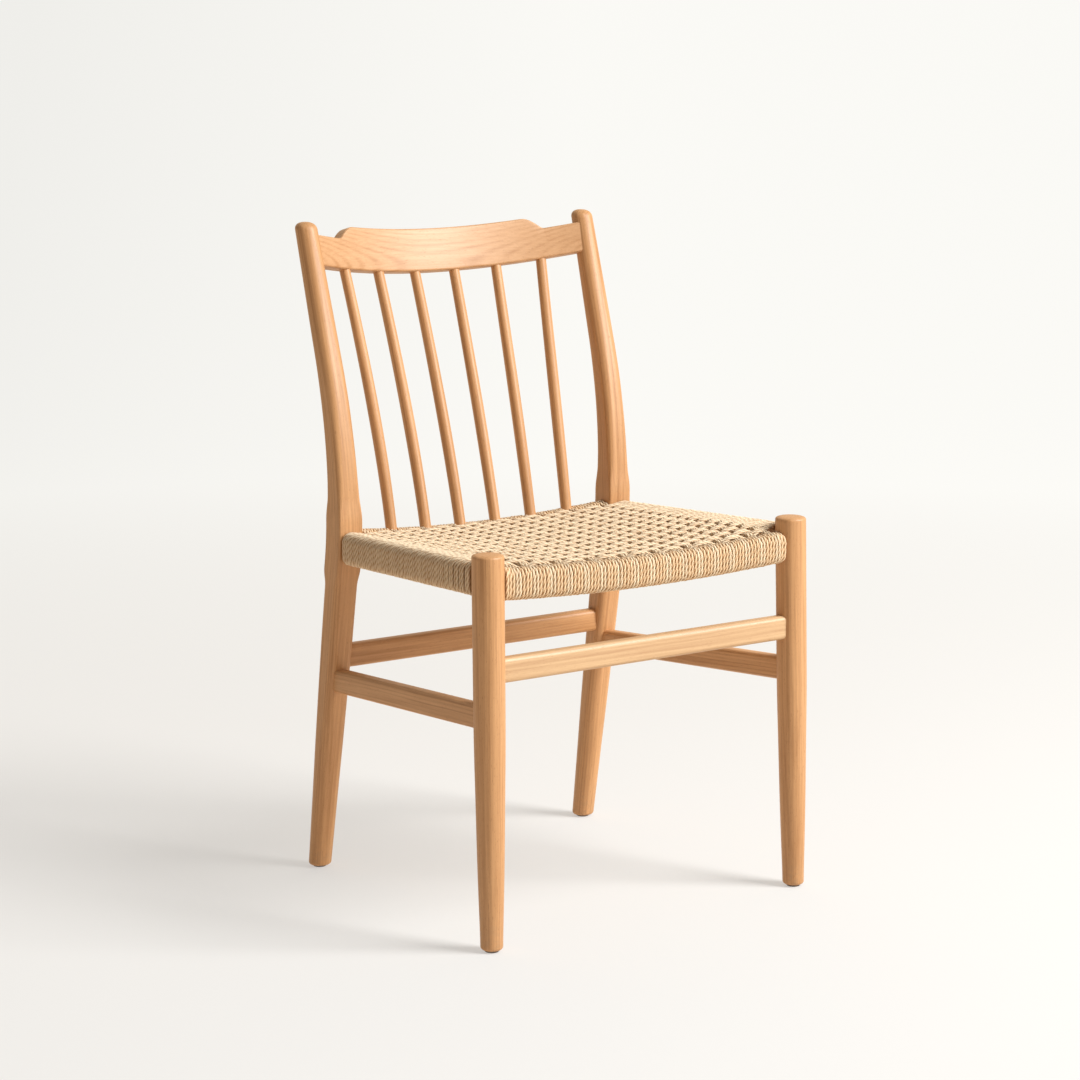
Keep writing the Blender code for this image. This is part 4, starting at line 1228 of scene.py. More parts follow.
@dataclass
class Spindles:
    """Six slender spindles from the rear seat rail to the crest rail.

    Attributes:
        count: the number of spindles.
        lower_margin: from the rear rail's end to the outer spindle.
        upper_margin: from the post's centre to the outer spindle at the crest rail.
        radii: at the foot, the belly and the head.
        belly: the belly's share of the way up.
        bow: how far a spindle bends forward.
        skew: how much the bend is nearer the foot.
        fan_power: above 1, a spindle starts upright and spreads later.
        softness: how widely the taper is rounded off.
        seated: how far the foot stands below the top of the cords.
        let_in: how far each end runs on into its rail.
        sides: points round a spindle.
    """

    crest: CrestRail
    count: int = 6
    lower_margin: float = 0.0711
    upper_margin: float = 0.0587
    radii: tuple = (0.0070, 0.0075, 0.0066)
    belly: float = 0.35
    bow: float = 0.0040
    skew: float = 0.35
    fan_power: float = 1.6
    softness: float = 0.18
    seated: float = 0.0032
    let_in: float = 0.0060
    sides: int = 32

    def feet(self) -> np.ndarray:
        """Each spindle's foot on top of the rear rail, shape (count, 3)."""
        rail = self.crest.lines.rear_rail()
        x = np.linspace(-1.0, 1.0, self.count) * (rail.end[0] - self.lower_margin)
        top = self.crest.lines.rail_height / 2.0 - self.seated
        return rail.points(0.5 + x / rail.length) + UP * top

    def heads(self) -> np.ndarray:
        """Where each spindle meets the crest rail's lower edge."""
        x = np.linspace(-1.0, 1.0, self.count) * (self.crest.post_x - self.upper_margin)
        return self.crest.base(x)

    def centre_line(self, foot: np.ndarray, head: np.ndarray, shares: np.ndarray) -> np.ndarray:
        """Late to spread sideways, bowed forward most near the belly, straight inside the rails."""
        straight = head - foot
        inside = np.clip(shares, 0.0, 1.0)
        spread = inside**self.fan_power - inside
        lopsided = 1.0 + self.skew * (1.0 - 2.0 * inside)
        forward = self.bow * 4.0 * inside * (1.0 - inside) * lopsided
        moved = np.stack([straight[0] * spread, -forward, np.zeros_like(inside)], 1)
        return foot + shares[:, None] * straight + moved

    def build(self, finish: bpy.types.Material) -> None:
        """Makes the six spindles."""
        circle = unit_circle(self.sides)
        stations = np.array((0.0, self.belly, 1.0))
        for number, (foot, head) in enumerate(zip(self.feet(), self.heads())):
            reach = self.let_in / float(np.linalg.norm(head - foot))
            shares = np.linspace(-reach, 1.0 + reach, 64)
            centres = self.centre_line(foot, head, shares)
            radii = smooth_curve(shares, stations, np.array(self.radii), self.softness)
            along = unit(np.gradient(centres, axis=0))
            across = unit(np.cross(BACK, along))
            outlines = radii[:, None, None] * circle
            place = LogPlace.number(10 + number)
            skin = carry(centres, across, np.cross(along, across), outlines, place)
            piece = skin.make(f"turned_spindle_{number + 1}", finish, Slot.WOOD)
            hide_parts(f"spindle_{number + 1}")


# ---- cord ----------------------------------------------------------------------------
@dataclass(frozen=True)
class TwistedCord:
    """Three strands of paper laid up into one cord, a little flattened where it is wound.

    Attributes:
        width: across the run, along the surface that it lies on.
        thickness: away from that surface.
        lay: length of one full turn of the strands.
        groove: depth of the valleys between strands, as a share of the radius.
        flank_light: how much of the light mark is left on the flanks; the rest there is painted shade,
            for the shade that neighbouring cords cast.
        side_shade: how much painted shade darkens the cord where it lies packed on a side rail's face.
        step: distance between rings.
        around: points round a ring.
    """

    width: float = 0.0046
    thickness: float = 0.0039
    lay: float = 0.0220
    groove: float = 0.28
    flank_light: float = 0.30
    side_shade: float = 0.42
    step: float = 0.0015
    around: int = 12

    def spin(self, path: np.ndarray, outward: np.ndarray, start: float, loop: bool = False) -> Skin:
        """The cord's surface along a path.

        Round the cord the radius is 1 - groove (1 - |cos(1.5 a)|), three round lobes; the lobes
        turn with the distance along the path, and the whole is then squeezed to width and thickness.
        The light mark is that cosine, faded towards the flanks: painted shade for the shade that
        neighbouring cords cast.

        Args:
            path: the centre line, shape (n, 3).
            outward: away from the surface that the cord lies on, shape (n, 3).
            start: moves the run's twist and its tone, so that runs differ.
            loop: the path's last point is its first.

        Returns:
            The surface, with its strand places and its light mark, painted shade included.
        """
        centres, outward = evenly(path, self.step, outward)
        along = np.gradient(centres, axis=0)
        if loop:
            along[0] = along[-1] = centres[1] - centres[-2]
        along = unit(along)
        side = unit(np.cross(along, outward))
        lift = np.cross(side, along)
        distance = run_lengths(centres)
        lay = self.lay
        if loop:
            lay = distance[-1] / max(round(distance[-1] / lay), 1)
        angles = np.arange(self.around) * 2.0 * math.pi / self.around
        lobe = np.abs(np.cos(1.5 * angles))
        radius = 1.0 - self.groove * (1.0 - lobe)
        turned = angles + 2.0 * math.pi * distance[:, None] / lay + 500.0 * start
        # Painted shade: the light mark fades on the flanks, and more where the cord lies on a side
        # rail's face.
        ridge_light = lobe * np.clip(self.flank_light + 1.3 * np.abs(np.cos(turned)), 0.0, 1.0)
        ridge_light = ridge_light * (1.0 - self.side_shade * np.abs(lift[:, :1]))
        half = self.width / 2.0
        up = lift[:, None] * (radius * np.cos(turned) * self.thickness / 2.0)[..., None]
        out = side[:, None] * (radius * np.sin(turned) * half)[..., None]
        rings = centres[:, None] + up + out
        x = radius * np.cos(angles) * half + start
        y = radius * np.sin(angles) * half
        z = distance[:, None] + 3.0 * start
        strand = np.stack(np.broadcast_arrays(x, y, z), -1)
        marks = {STRAND: strand, RIDGE_LIGHT: ridge_light}
        if loop:
            rings = rings[:-1]
            marks = {name: values[:-1] for name, values in marks.items()}
        return Skin.carried(rings, marks, loop)


@dataclass(frozen=True)
class RailWrap:
    """The path of a cord round a rail, in the rail's own section: outwards and up.

    Attributes:
        width: of the rail with its cord on.
        height: of the rail with its cord on.
        corner: radius of that section's corners.
        cord: thickness of the cord, whose centre the path follows.
    """

    width: float
    height: float
    corner: float = 0.0115
    cord: float = 0.0036

    def circuit(self) -> tuple[np.ndarray, np.ndarray]:
        """Once round, from the middle of the inner face down, under, up the outside and over the top.

        Returns:
            Points (outwards, up) and outward unit vectors, each shape (n, 2).
        """
        a = (self.width - self.cord) / 2.0
        b = (self.height - self.cord) / 2.0
        r = self.corner - self.cord / 2.0
        spans = []
        normals = []
        flats = (
            ((-a, 0.0), (-a, r - b), (-1.0, 0.0)),
            ((r - a, -b), (a - r, -b), (0.0, -1.0)),
            ((a, r - b), (a, b - r), (1.0, 0.0)),
            ((a - r, b), (r - a, b), (0.0, 1.0)),
            ((-a, b - r), (-a, 0.0), (-1.0, 0.0)),
        )
        corners = ((-1.0, -1.0, 180.0), (1.0, -1.0, 270.0), (1.0, 1.0, 0.0), (-1.0, 1.0, 90.0))
        for index, (first, last, normal) in enumerate(flats):
            share = np.linspace(0.0, 1.0, 9)[:, None]
            spans.append(np.array(first) + share * (np.array(last) - np.array(first)))
            normals.append(np.broadcast_to(normal, (9, 2)))
            if index < 4:
                x, y, begin = corners[index]
                turns = np.radians(begin + np.linspace(0.0, 90.0, 12))[1:-1]
                away = np.stack([np.cos(turns), np.sin(turns)], 1)
                spans.append(np.array((x * (a - r), y * (b - r))) + r * away)
                normals.append(away)
        return np.concatenate(spans), np.concatenate(normals)

    def over(self) -> tuple[np.ndarray, np.ndarray]:
        """The circuit down from the inner face, under and over, up to the top's inner corner."""
        points, normals = self.circuit()
        top = points[:, 1] >= points[:, 1].max() - 1e-9
        last = int(np.flatnonzero(top)[-1])
        return points[: last + 1], normals[: last + 1]


@dataclass
class WovenSeat:
    """Warp pairs from front to rear, weft pairs from side to side, and the wraps between warps.

    Warp pair k and weft pair j cross over and under in turn: the warp is on top where j + k is odd.
    Every run goes round its rail and ends on a nail in the rail's inner face. Here y is measured
    from the line of the front legs.

    Attributes:
        warp_reach: the number of warp pairs on each side of the middle one.
        warp_pitch: from pair to pair on the front rail.
        warp_middle: x of the middle pair.
        warp_start: y up to which the pitch stays the same.
        warp_ends: where a warp's level part starts behind the front line, and ends before the
            rear rail's centre.
        rear_narrowing: the pitch on the rear rail, as a share of warp_pitch.
        group: cords side by side on the front rail from one pair to the next.
        rows: the number of weft pairs.
        middle_rows: y of the first and last weft pair in the middle of the seat.
        side_rows: their y on the side rails.
        side_opening: how much wider the front rows stand apart at the sides.
        half_width: x of the side rails, where side_rows hold.
        woven_half: x at which the wefts leave the weave for the side rails.
        surface_height: top of the weave beside the front rail's ends.
        surface_from: y where that height is measured.
        surface_fall: how far it falls for each metre to the rear.
        dish_front: how deep its middle hangs near the front.
        dish_rear: how deep its middle hangs near the rear.
        dish_reach: the two y between which the one passes into the other.
        front_sink: how far the weave lies under the front rail's top, just behind it.
        sink_reach: how far back that holds on.
        weft_lift: how far a weft rises and falls over and under the warps.
        warp_lift: how far a warp rises and falls.
        crest_flatness: above 1, the rises are held for longer.
        weft_edge: the length over which a weft's rises die out beside the side rail.
        edge_lift: how high it then lies over the weave's middle.
        warp_edges: the same length for a warp, at the front and at the rear.
        half_thickness: half of the weave's thickness.
        spindle_gap: the nearest that a cord's centre comes to a spindle's.
        kept_points: of a warp's wrap on the rear rail, where a spindle stands in its way.
        run_step: distance between a run's points.
        sway: how far a run strays from its line.
        sway_knots: the number of places along a run that stray by themselves.
        rib_fill: a wrap's width, as a share of the pitch.
        rib_sway: how far a wrap on the front or rear rail strays.
        rib_slant: how far its top leans to the right of its bottom, and how much that varies.
        rib_shift: how far one moves aside for a spindle, at most, as a share of the pitch.
        front_places: numbers of the first place on the front rail and of the one after the last.
        rear_places: the same on the rear rail.
        rear_end: the last place for a cord on the rear rail, short of the post.
        squeeze_from: x on the front rail where the last cords start to crowd.
        squeeze: their pitch on top of the rail beside the leg, as a share of the usual one.
        rail_width: of every rail with its cord on.
        nail_radius: of the wire nails.
        nail_path: points (inwards, up) of a nail's wire, from the rail's centre.
        cord: the twisted cord.
    """

    lines: ChairLines
    spindles: Spindles
    warp_reach: int = 8
    warp_pitch: float = 0.0238
    warp_middle: float = 0.0018
    warp_start: float = 0.0080
    warp_ends: tuple = (0.0160, 0.0150)
    rear_narrowing: float = 0.95
    group: int = 5
    rows: int = 32
    middle_rows: tuple = (0.0222, 0.3355)
    side_rows: tuple = (0.0332, 0.3217)
    side_opening: float = 0.40
    half_width: float = 0.2100
    woven_half: float = 0.1960
    surface_height: float = 0.4505
    surface_from: float = 0.0300
    surface_fall: float = 0.0379
    dish_front: float = 0.0135
    dish_rear: float = 0.0080
    dish_reach: tuple = (0.0200, 0.3300)
    front_sink: float = 0.0019
    sink_reach: float = 0.0400
    weft_lift: float = 0.0024
    warp_lift: float = 0.0017
    crest_flatness: float = 1.7
    weft_edge: float = 0.0120
    edge_lift: float = 0.0012
    warp_edges: tuple = (0.0040, 0.0060)
    half_thickness: float = 0.0036
    spindle_gap: float = 0.0085
    kept_points: int = 4
    run_step: float = 0.0008
    sway: float = 0.00012
    sway_knots: int = 8
    rib_fill: float = 0.99
    rib_sway: float = 0.0001
    rib_slant: tuple = (0.0006, 0.0002)
    rib_shift: float = 0.55
    front_places: tuple = (-44, 43)
    rear_places: tuple = (-42, 42)
    rear_end: float = 0.1825
    squeeze_from: float = 0.1945
    squeeze: float = 0.6
    rail_width: float = 0.0260
    nail_radius: float = 0.0009
    nail_path: tuple = (
        (0.0085, -0.0020),
        (0.0125, -0.0020),
        (0.0148, -0.0017),
        (0.0156, -0.0007),
        (0.0158, 0.0010),
        (0.0158, 0.0065),
    )
    cord: TwistedCord = field(default_factory=TwistedCord)

    def __post_init__(self) -> None:
        """Keeps the rails' lines and sections, and a seeded source of small unevenness."""
        self.wrap = RailWrap(self.rail_width, self.lines.rail_height)
        self.side_wrap = RailWrap(self.rail_width, self.lines.side_rail_height)
        self.front = self.lines.front_rail()
        self.rear = self.lines.rear_rail()
        self.sides = {side: self.lines.side_rail(side) for _, side in SIDES}
        self.rng = np.random.default_rng(20)

    # -- where the rows and the surface lie --------------------------------------------
    def row_y(self, j: np.ndarray, x: np.ndarray) -> np.ndarray:
        """Weft pair j's y at x: even in the middle, opened out towards the front at the sides.

        At the sides the share t of the way back becomes t + opening t (1 - t)^4. Between the
        middle and a side the two are mixed by x squared, or by its sixth power in the front rows.
        """
        t = np.asarray(j, float) / (self.rows - 1)
        middle = self.middle_rows[0] + t * (self.middle_rows[1] - self.middle_rows[0])
        opened = t + self.side_opening * t * np.clip(1.0 - t, 0.0, 1.0) ** 4
        side = self.side_rows[0] + opened * (self.side_rows[1] - self.side_rows[0])
        power = 2.0 + 4.0 * np.clip(1.0 - 3.0 * t, 0.0, 1.0)
        return middle + (side - middle) * np.clip(np.abs(x) / self.half_width, 0.0, 1.0) ** power

    def warp_x(self, k: float, y: np.ndarray) -> np.ndarray:
        """Warp pair k's x at y, drawn in a little towards the rear."""
        reach = self.lines.seat_depth - self.warp_start
        share = np.clip((y - self.warp_start) / reach, 0.0, 1.0)
        narrowed = 1.0 - (1.0 - self.rear_narrowing) * share
        return (self.warp_middle + k * self.warp_pitch) * narrowed

    def surface(self, x: np.ndarray, y: np.ndarray) -> np.ndarray:
        """Height of the weave's middle: a shallow dish that falls to the rear.

        Just behind the front rail it is held a little below that rail's top, and that hold fades
        with the square of the distance back.
        """
        dish = np.interp(y, self.dish_reach, (self.dish_front, self.dish_rear))
        crown = 1.0 - np.clip(np.abs(x) / self.half_width, 0.0, 1.0) ** 2
        fallen = self.surface_fall * (y - self.surface_from) + dish * crown
        height = self.surface_height - self.half_thickness - fallen
        arch = 1.0 - (x / self.lines.front_half_span) ** 2
        rail = self.front.start[2] + self.lines.rail_height / 2.0 - self.front.dip * arch
        hold = np.clip(1.0 - (y - self.middle_rows[0]) / self.sink_reach, 0.0, 1.0) ** 2
        return height + (rail - self.front_sink - height) * hold

    def squared(self, wave: np.ndarray) -> np.ndarray:
        """A cosine with its crests flattened."""
        return np.tanh(self.crest_flatness * wave) / math.tanh(self.crest_flatness)

    # -- runs --------------------------------------------------------------------------
    def weft_path(self, j: int, lane: float) -> tuple[np.ndarray, np.ndarray]:
        """One weft cord: from a nail, round the left rail, across the seat and round the right rail.

        Args:
            j: the weft pair, from 0 at the front.
            lane: the cord's distance behind the pair's middle.

        Returns:
            Its points and outward vectors, in the chair's own place.
        """
        x = np.linspace(-self.woven_half, self.woven_half, SEAT_STEPS)
        y = self.row_y(j, x) + lane
        pitch = self.warp_x(1.0, y) - self.warp_x(0.0, y)
        wave = np.cos(math.pi * ((x - self.warp_x(0.0, y)) / pitch + j))
        lift = self.weft_lift * self.squared(wave)
        edge = np.clip((self.woven_half - np.abs(x)) / self.weft_edge, 0.0, 1.0)
        z = self.surface(x, y) + lift * edge + self.edge_lift * (1.0 - edge)
        seat = np.stack([x, y, z], 1)
        seat_up = np.broadcast_to(UP, seat.shape)
        points, normals = self.side_wrap.over()
        ends = []
        for side in (-1.0, 1.0):
            rail = self.sides[side]
            y_side = float(self.row_y(j, np.array(self.half_width))) + lane
            share = (y_side + self.lines.front - rail.start[1]) / (rail.end[1] - rail.start[1])
            centre = rail.points(np.array(share))
            loop = np.zeros((len(points), 3))
            loop[:, 0] = centre[0] + side * points[:, 0]
            loop[:, 1] = y_side
            loop[:, 2] = centre[2] + points[:, 1]
            away = np.stack([side * normals[:, 0], np.zeros(len(points)), normals[:, 1]], 1)
            ends.append((loop, away))
        (left, left_away), (right, right_away) = ends
        path = np.concatenate([left, seat, right[::-1]])
        away = np.concatenate([left_away, seat_up, right_away[::-1]])
        return self.settled(path, away)

    def warp_path(self, k: int, lane: float) -> tuple[np.ndarray, np.ndarray]:
        """One warp cord: from a nail, over the front rail, across the seat and over the rear rail.

        Where a spindle stands in its way, it stops on top of the rear rail.

        Args:
            k: the warp pair, 0 in the middle.
            lane: the cord's distance to the right of the pair's middle.

        Returns:
            Its points and outward vectors, in the chair's own place.
        """
        x_front = self.warp_middle + k * self.warp_pitch + lane
        front = self.front.points(np.array(0.5 + x_front / self.front.length))
        front_y = front[1] - self.lines.front
        points, normals = self.wrap.over()
        zero = np.zeros(len(points))
        first = np.stack([zero + x_front, front_y - points[:, 0], front[2] + points[:, 1]], 1)
        first_away = np.stack([zero, -normals[:, 0], normals[:, 1]], 1)
        x_rear = float(self.warp_x(k, np.array(self.lines.seat_depth))) + lane * self.rear_narrowing
        rear = self.rear.points(np.array(0.5 + x_rear / self.rear.length))
        rear_y = rear[1] - self.lines.front
        last = np.stack([zero + x_rear, rear_y + points[:, 0], rear[2] + points[:, 1]], 1)[::-1]
        last_away = np.stack([zero, normals[:, 0], normals[:, 1]], 1)[::-1]
        if np.abs(self.spindles.feet()[:, 0] - x_rear).min() < self.spindle_gap:
            last = last[: self.kept_points]
            last_away = last_away[: self.kept_points]
        start, short = self.warp_ends
        y = np.linspace(start, rear_y - short, SEAT_STEPS)
        x = self.warp_x(k, y) + lane
        numbers = np.arange(-1, self.rows + 1)
        row = np.interp(y, self.row_y(numbers, np.full(len(numbers), abs(x_front))), numbers)
        wave = -np.cos(math.pi * (row + k))
        front_edge, rear_edge = self.warp_edges
        edge = np.clip((y - y[0]) / front_edge, 0.0, 1.0)
        edge = edge * np.clip((y[-1] - y) / rear_edge, 0.0, 1.0)
        z = self.surface(x, y) + self.warp_lift * self.squared(wave) * edge
        seat = np.stack([x, y, z], 1)
        path = np.concatenate([first, seat, last])
        away = np.concatenate([first_away, np.broadcast_to(UP, seat.shape), last_away])
        return self.settled(path, away)

    def settled(self, path: np.ndarray, away: np.ndarray) -> tuple[np.ndarray, np.ndarray]:
        """A run drawn tight: resampled, its kinks eased, a little uneven, moved to its own y.

        Args:
            path: its points, with y measured from the front line.
            away: outward vectors there.

        Returns:
            The points in the chair's own place, and their outward unit vectors.
        """
        path, away = evenly(path, self.run_step, away)
        path = smooth_path(path, 3)
        away = unit(smooth_path(away, 6))
        sway = self.rng.normal(0.0, self.sway, (self.sway_knots, 3))
        knots = np.linspace(0.0, 1.0, self.sway_knots)
        places = np.linspace(0.0, 1.0, len(path))
        path = path + np.stack([np.interp(places, knots, column) for column in sway.T], 1)
        return path + (0.0, self.lines.front, 0.0), away

    def rib(
        self, centre: np.ndarray, outward: float, slant: float, spread: float = 0.0
    ) -> tuple[np.ndarray, np.ndarray]:
        """One closed turn round the front or rear rail.

        Args:
            centre: the rail's centre there.
            outward: -1 for the front rail and 1 for the rear rail.
            slant: how far the turn's top leans along the rail from its bottom.
            spread: how far its outer and inner faces stand aside from the middle of its top.

        Returns:
            Its points and outward vectors.
        """
        points, normals = self.wrap.circuit()
        aside = (2.0 * points[:, 0] / self.rail_width) ** 2
        x = centre[0] + slant * points[:, 1] / self.wrap.height + spread * aside
        path = np.stack([x, centre[1] + outward * points[:, 0], centre[2] + points[:, 1]], 1)
        away = np.stack([np.zeros(len(points)), outward * normals[:, 0], normals[:, 1]], 1)
        return path, away

    def nail(self, centre: np.ndarray, inward: np.ndarray) -> Skin:
        """A wire nail in a rail's inner face, bent up at a right angle to hold a pair of cords.

        Args:
            centre: the rail's centre beside it.
            inward: level unit vector towards the middle of the seat.

        Returns:
            Its surface, a round wire along a path that turns from inward to up.
        """
        along, rise = np.array(self.nail_path).T
        path = centre + along[:, None] * inward + rise[:, None] * UP
        across = np.cross(UP, inward)
        heading = unit(np.gradient(path, axis=0))
        circle = unit_circle(8) * self.nail_radius
        lift = np.cross(heading, across)
        rings = path[:, None] + circle[:, :1] * across + circle[None, :, 1:] * lift[:, None]
        return Skin.carried(rings)

    def nails(self) -> list[Skin]:
        """One nail for each weft pair on each side rail, and for each warp pair at each end."""
        made = []
        for side, rail in self.sides.items():
            for j in range(self.rows):
                y = float(self.row_y(j, np.array(self.half_width))) + self.lines.front
                share = (y - rail.start[1]) / (rail.end[1] - rail.start[1])
                made.append(self.nail(rail.points(np.array(share)), -side * ACROSS))
        ends = ((self.front, 1.0, 1.0), (self.rear, -1.0, self.rear_narrowing))
        for rail, inward, scale in ends:
            for k in range(-self.warp_reach, self.warp_reach + 1):
                x = (self.warp_middle + k * self.warp_pitch) * scale
                centre = rail.points(np.array(0.5 + x / rail.length))
                made.append(self.nail(centre, inward * BACK))
        return made

    # -- pieces ------------------------------------------------------------------------
    def wefts(self) -> list[Skin]:
        """Every weft cord, front to rear, two to a pair. The first pair's flanks get no painted shade.
        """
        lane = self.cord.width * 0.505
        made = []
        for j in range(self.rows):
            cord = self.cord if j > 0 else replace(self.cord, flank_light=1.0)
            for side in (-lane, lane):
                path, away = self.weft_path(j, side)
                made.append(cord.spin(path, away, self.rng.uniform(0.0, 9.0)))
        return made

    def warps(self) -> list[Skin]:
        """Every warp cord, left to right, two to a pair."""
        lane = self.warp_pitch / self.group / 2.0
        made = []
        for k in range(-self.warp_reach, self.warp_reach + 1):
            for side in (-lane, lane):
                path, away = self.warp_path(k, side)
                made.append(self.cord.spin(path, away, self.rng.uniform(10.0, 19.0)))
        return made

    def taken(self, n: int, x: float) -> bool:
        """Whether place n on the front or rear rail, at x, belongs to a warp cord."""
        within = abs(x) < (self.warp_reach + 0.5) * self.warp_pitch
        return (n + 1) % self.group < 2 and within

    def front_ribs(self) -> list[Skin]:
        """The wraps round the front rail, in every place that no warp takes, crowded by the legs."""
        pitch = self.warp_pitch / self.group
        cord = replace(self.cord, width=pitch * self.rib_fill)
        made = []
        for n in range(*self.front_places):
            x = self.warp_middle + (n + 0.5) * pitch
            if self.taken(n, x):
                continue
            crowded = self.squeeze_from + self.squeeze * max(abs(x) - self.squeeze_from, 0.0)
            squeezed = math.copysign(min(abs(x), crowded), x)
            centre = self.front.points(np.array(0.5 + squeezed / self.front.length))
            centre = centre + self.rng.normal(0.0, self.rib_sway, 3)
            slant = self.rng.normal(*self.rib_slant)
            path, away = self.rib(centre, -1.0, slant, x - squeezed)
            made.append(cord.spin(path, away, self.rng.uniform(20.0, 29.0), loop=True))
        return made

    def rear_ribs(self) -> list[Skin]:
        """The wraps round the rear rail, left out where a warp or a spindle stands.

        A wrap that would only just touch a spindle is moved aside.
        """
        pitch = self.warp_pitch * self.rear_narrowing / self.group
        cord = replace(self.cord, width=pitch * self.rib_fill)
        feet = self.spindles.feet()[:, 0]
        made = []
        for n in range(*self.rear_places):
            x = self.warp_middle * self.rear_narrowing + (n + 0.5) * pitch
            foot = feet[np.abs(feet - x).argmin()]
            short = self.spindle_gap - abs(x - foot)
            blocked = abs(x) > self.rear_end or short > self.rib_shift * pitch
            if blocked or self.taken(n, x):
                continue
            x += math.copysign(max(short, 0.0), x - foot)
            centre = self.rear.points(np.array(0.5 + x / self.rear.length))
            centre = centre + self.rng.normal(0.0, self.rib_sway, 3)
            path, away = self.rib(centre, 1.0, self.rng.normal(*self.rib_slant))
            made.append(cord.spin(path, away, self.rng.uniform(30.0, 39.0), loop=True))
        return made

    def build(self, finishes: Finishes) -> None:
        """Makes the cords, in pieces that each stay light enough to handle, and their nails."""
        weave = finishes.weave
        wrap = finishes.wrap
        wefts = self.wefts()
        names = ("front", "mid_front", "mid_rear", "rear")
        share = len(wefts) // len(names)
        for index, name in enumerate(names):
            cords = Skin.joined(wefts[index * share : (index + 1) * share])
            piece = cords.make(f"weft_cords_{name}", weave, Slot.CORD)
            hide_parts("seat_weave", "side_rail_wrap_left", "side_rail_wrap_right")
        warps = self.warps()
        half = len(warps) // 2
        for name, cords in (("left", warps[:half]), ("right", warps[half:])):
            Skin.joined(cords).make(f"warp_cords_{name}", weave, Slot.CORD)
        piece = Skin.joined(self.front_ribs()).make("front_rail_cords", wrap, Slot.CORD)
        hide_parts("front_rail_wrap")
        piece = Skin.joined(self.rear_ribs()).make("rear_rail_cords", wrap, Slot.CORD)
        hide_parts("rear_rail_wrap")
        Skin.joined(self.nails()).make("cord_nails", finishes.nails, None)


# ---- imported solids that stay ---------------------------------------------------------
def dress(frame: dict, finishes: Finishes) -> None:
    """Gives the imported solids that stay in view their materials."""
    for name, node in frame["nodes"].items():
        if node.hide_render:
            continue
        # The rails take the dark rail wood, painted shade for the gaps beside the legs.
        material = finishes.glides if "glide" in name else finishes.rails
        node.data.materials.clear()
        node.data.materials.append(material)
        log.info("%s keeps its solid, in %s", name, material.name)


